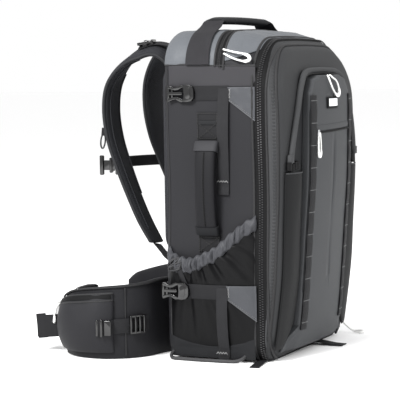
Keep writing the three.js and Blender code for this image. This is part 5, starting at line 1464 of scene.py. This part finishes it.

# %% [markdown]
# On the front: the slit zip across the panel with the panel's cloth folded over it, its dark tube
# also painted shadow under the fold; the end tabs of the arch zip's cover with the bunched tape below
# them, the hems of the front pockets, and the dark binding along the panel's edges. All follow the
# surface they are sewn to.

# %% Slit zip, arch end, pocket hems
SLIT_Z, SLIT_HALF, SLIT_SLOPE = 388.0, 79, 0.02
x = np.linspace(-SLIT_HALF, SLIT_HALF, 60)
# The slit zip's dark tube, wider than the zip, is also painted shadow under the fold above it.
tube("slit_zip_and_shadow", panel_front(x, SLIT_Z + SLIT_SLOPE * x - 0.5, 1.2), 2.1, shadow_tape, flat=0.8)
skin("slit_fold", lambda u, v: panel_front(blend(-SLIT_HALF, SLIT_HALF, u), SLIT_Z + blend(1.5, 12, v)
                                           + SLIT_SLOPE * blend(-SLIT_HALF, SLIT_HALF, u)), (60, 6), panel_cloth,
     thickness=1.1, slot="panel_cloth", roll=5, floor=0.05)
moulded("slit_slider", [(rectangle(-4, 4, -7, 3, 1), 0, 3)],
        framed((-74, panel_front(-74.0, SLIT_Z)[1] - 1, SLIT_Z), (1, 0, 0), (0, 0, 1)), finish=metal)
arch_lumps = {-1: (5.5, (-8, -2), (2, -5), (12, -2), (20, -1)), 1: (4.5, (3, -5), (12, -2))}
for side_name, side in SIDES:
    (end_x, _), (end_z, _) = arch_point(np.array([max(side, 0), max(side, 0) + side * -0.012]))
    centre = lid_front(end_x + side * 5.8, end_z + 3, 5.0)
    band(f"arch_tab_{side_name}", [(centre + [0, -0.5, 13], (1, 0, 0), 13, 9), (centre, (1, 0, 0), 13.5, 9.5)],
         gusset_cloth, power=4)
    lift, *lumps = arch_lumps[side]
    for k, (dx, dz) in enumerate(lumps):
        lump = lid_front(end_x + side * (4 - dx), end_z + dz, lift)
        band(f"arch_end_{side_name}_{k}", [(lump + [0, 0, 6], (1, 0, 0), 10, 8), (lump - [0, 0, 8], (1, 0, 0), 12, 8)],
             shadow_tape, power=2.4)
    u = np.linspace(0.02, 0.98, 40)
    out = pocket_swell_front(u, np.ones(40), 0, 0) + 1.8
    tube(f"pocket_top_hem_{side_name}", front_pocket(side)(u, np.ones(40)) - stack(0, out, 0.8), 1.4, gusset_cloth)
for side_name, side in SIDES:
    skin(f"panel_edge_{side_name}",
         lambda u, v: panel_front(side * blend(0.415, 0.487, u) * PANEL_WIDE, blend(0.235, 0.88, v) * PANEL_TALL),
         (6, 60), dark_cloth, thickness=0.8, lift=0.5, slot="webbing")
print_new("slit zip, arch ends and hems")

# %% [markdown]
# The hip pocket's zip runs along its top between two pipings. A webbing strap crosses it, with a
# ladder lock near the bag and a keeper near the tip, and its tail stands out past the belt's tip. The
# hardware sits in frames on the wing's outer face, so it turns with the belt's bend.

# %% Hip belt details
shares = np.linspace(0.5, 0.955, 60)
for name, v, radius in (("low", 0.87, 1.7), ("high", 0.985, 1.9)):
    push = hip_swell(np.maximum((shares - 0.5) / 0.46, 0.001), v) + 2.6
    tube(f"hip_zip_{name}", hip_line(shares, blend(0.1, 0.92, v), push), radius, piping)
skin("hip_zip_tape", lambda u, v: hip_pocket_point(blend(0.02, 0.98, u), blend(0.89, 0.965, v)), (60, 5), shadow_tape,
     thickness=0.8, lift=2.4, slot="zip")
tube("hip_seam", hip_line(np.full(30, share_at(146)), np.linspace(0.06, 0.97, 30), 0.6), 1.2, piping)
tube("hip_top_edge", hip_line(np.linspace(0.03, 0.97, 90), 0.985, -1.0), 1.8, piping)


def over_pocket(share):
    """How far the belt's outer face stands out at a share of its length, its pocket counted."""
    return WING_THICK / 2 + hip_swell((share - 0.5) / 0.46)


def hip_strap_point(u, v):
    share = blend(share_at(120), share_at(188), u)
    x, y, _ = wing_at(-1, share, over_pocket(share) + 2.5)
    return stack(x, y, 61 - 4.5 * u + (v - 0.5) * STRAP)


skin("hip_strap", hip_strap_point, (60, 6), webbing, lift=0.6, slot="webbing")
moulded("hip_ladder_lock", lock, wing_frame(0.325, 61, WING_THICK / 2 + 4.5), width=0.9)
keeper_shape = [(rectangle(0, 4, -15, 15, 1.2), 0, 6), (rectangle(-14, -2, -13, 13, 1.2), 0, 2.4),
                (rectangle(8, 12, -14, 14, 1.2), 0, 5)]
moulded("hip_keeper", keeper_shape, wing_frame(share_at(178), 57, over_pocket(share_at(178)) + 3), width=0.8)

flat_strap("base_tab", [(-164, -86, 2.6), (-182, -89, 2.2), (-202, -92, 1.5), (-220, -95, 1.4)], (0.2, -0.98, 0), 17)

flat_strap("hip_tail", [(-187, 268, 50), (-197, 288, 49), (-200, 312, 47), (-197, 334, 46)], (0, 0, 1), 40)
flat_strap("hip_tail_fold", [(-192, 318, 46.5), (-193, 336, 44.5)], (0, 0.12, 1), 44, thickness=3.0)
print_new("hip belt details")

# %% [markdown]
# On the harness: the load lifters' adjusters, the chest buckle and a clip on the left strap, and the
# two lengthwise seams in that strap's cloth, which are thin tubes on the line the strap was made from.

# %% Harness details
lifter_shapes = [(rectangle(0, 30, 9, 13, 1.2), 0, 5), (rectangle(0, 30, -13, -9, 1.2), 0, 5),
                 (rectangle(0, 4, -12, 12, 1), 0.5, 6), (rectangle(12, 17, -12, 12, 1), 1, 7),
                 (rectangle(26, 30, -12, 12, 1), 0, 5)]
for side_name, side in SIDES:
    rows = strap_stations(side)
    a, b = rows[2][0] + [0, 0, 13.5], rows[3][0] + [0, 0, 15]
    place = framed(blend(a, b, 0.15), b - a, -np.cross(unit(b - a), (0, 0, 1)))
    moulded(f"lifter_lock_{side_name}", lifter_shapes, place, width=0.8)
centre, wide, width, thick = strap_lines["left"]
share = np.linspace(0, 1, len(centre))
normal = unit(np.cross(unit(np.gradient(centre, axis=0)), wide))
normal *= np.sign(-normal[:, 1:2])
for name, across, first, last in (("fold", 0.28, 0.2, 0.95), ("fold_inner", -0.36, 0.3, 0.8)):
    keep = (share > first) & (share < last)
    line = centre + wide * (across * width)[:, None] + normal * (thick * 0.5)[:, None]
    tube(f"strap_seam_{name}", line[keep], 1.1, pad_mesh)

sternum_lock = [(rectangle(0, 5, -17, 17), 0, 5), (rectangle(5, 12, -8, 8), 1, 5), (rectangle(12, 17, -14, 14), 0, 7),
                (rectangle(17, 30, -9, 9), 2, 6), (rectangle(30, 37, -18, 18), 0, 6)]
moulded("sternum_lock", sternum_lock, framed((-66, 236, 325), (0, 1, 0), (0, 0, 1)))
rim = np.linspace(0, 2 * math.pi, 30)
clip_loop = stack(-88, 253 + 4.5 * np.cos(rim) - 1.5 * np.sin(rim), 370 + 13 * np.sin(rim))
tube("strap_clip", clip_loop[:-1], 1.5, plastic, closed=True)
band("strap_clip_tab", [((-88, 250, 394), (0, 1, 0), 9, 3), ((-88, 251.5, 380), (0, 1, 0), 9, 3)], webbing, power=5)
print_new("harness details")
print("pieces in all:", len(made))

# %% [markdown]
# Floor and light: a white floor and world, a large soft light from behind the camera's left and a
# weaker fill from the front, as in a studio picture of one bag on white.

# %% Floor and light
floor_mesh = bpy.data.meshes.new("floor")
FLOOR = 30.0
floor_mesh.from_pydata([(x * FLOOR, y * FLOOR, 0) for x, y in ((-1, -1), (1, -1), (1, 1), (-1, 1))], [], [(0, 1, 2, 3)])
floor_mesh.materials.append(smooth_finish("floor", "fdfdfd", roughness=0.9, vary=0.0, depth=0.0, share=1.0))
new_object("floor", floor_mesh)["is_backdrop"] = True

world = bpy.data.worlds.new("studio")
world.use_nodes = True
background = world.node_tree.nodes["Background"]
background.inputs["Color"].default_value = (1, 1, 1, 1)
background.inputs["Strength"].default_value = 1.0
bpy.context.scene.world = world


def area_light(name, place, target, size, power):
    data = bpy.data.lights.new(name, "AREA")
    data.shape, data.size, data.energy = "DISK", size, power
    light = new_object(name, data)
    light.location = place
    light.rotation_euler = (Vector(target) - Vector(place)).to_track_quat("-Z", "Y").to_euler()


area_light("key", (-2.4, 0.5, 2.2), (0, 0, 0.25), 1.0, 150)
area_light("front fill", (0.6, -2.6, 1.6), (0, 0, 0.3), 1.4, 45)
bpy.context.scene.view_settings.view_transform = "Standard"

# %% Last checks
low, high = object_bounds()
{"cad": [list(cad_low), list(cad_high)], "visual": [list(low), list(high)]}
print("visual box in mm:", [round(v / MM) for v in (*low, *high)])
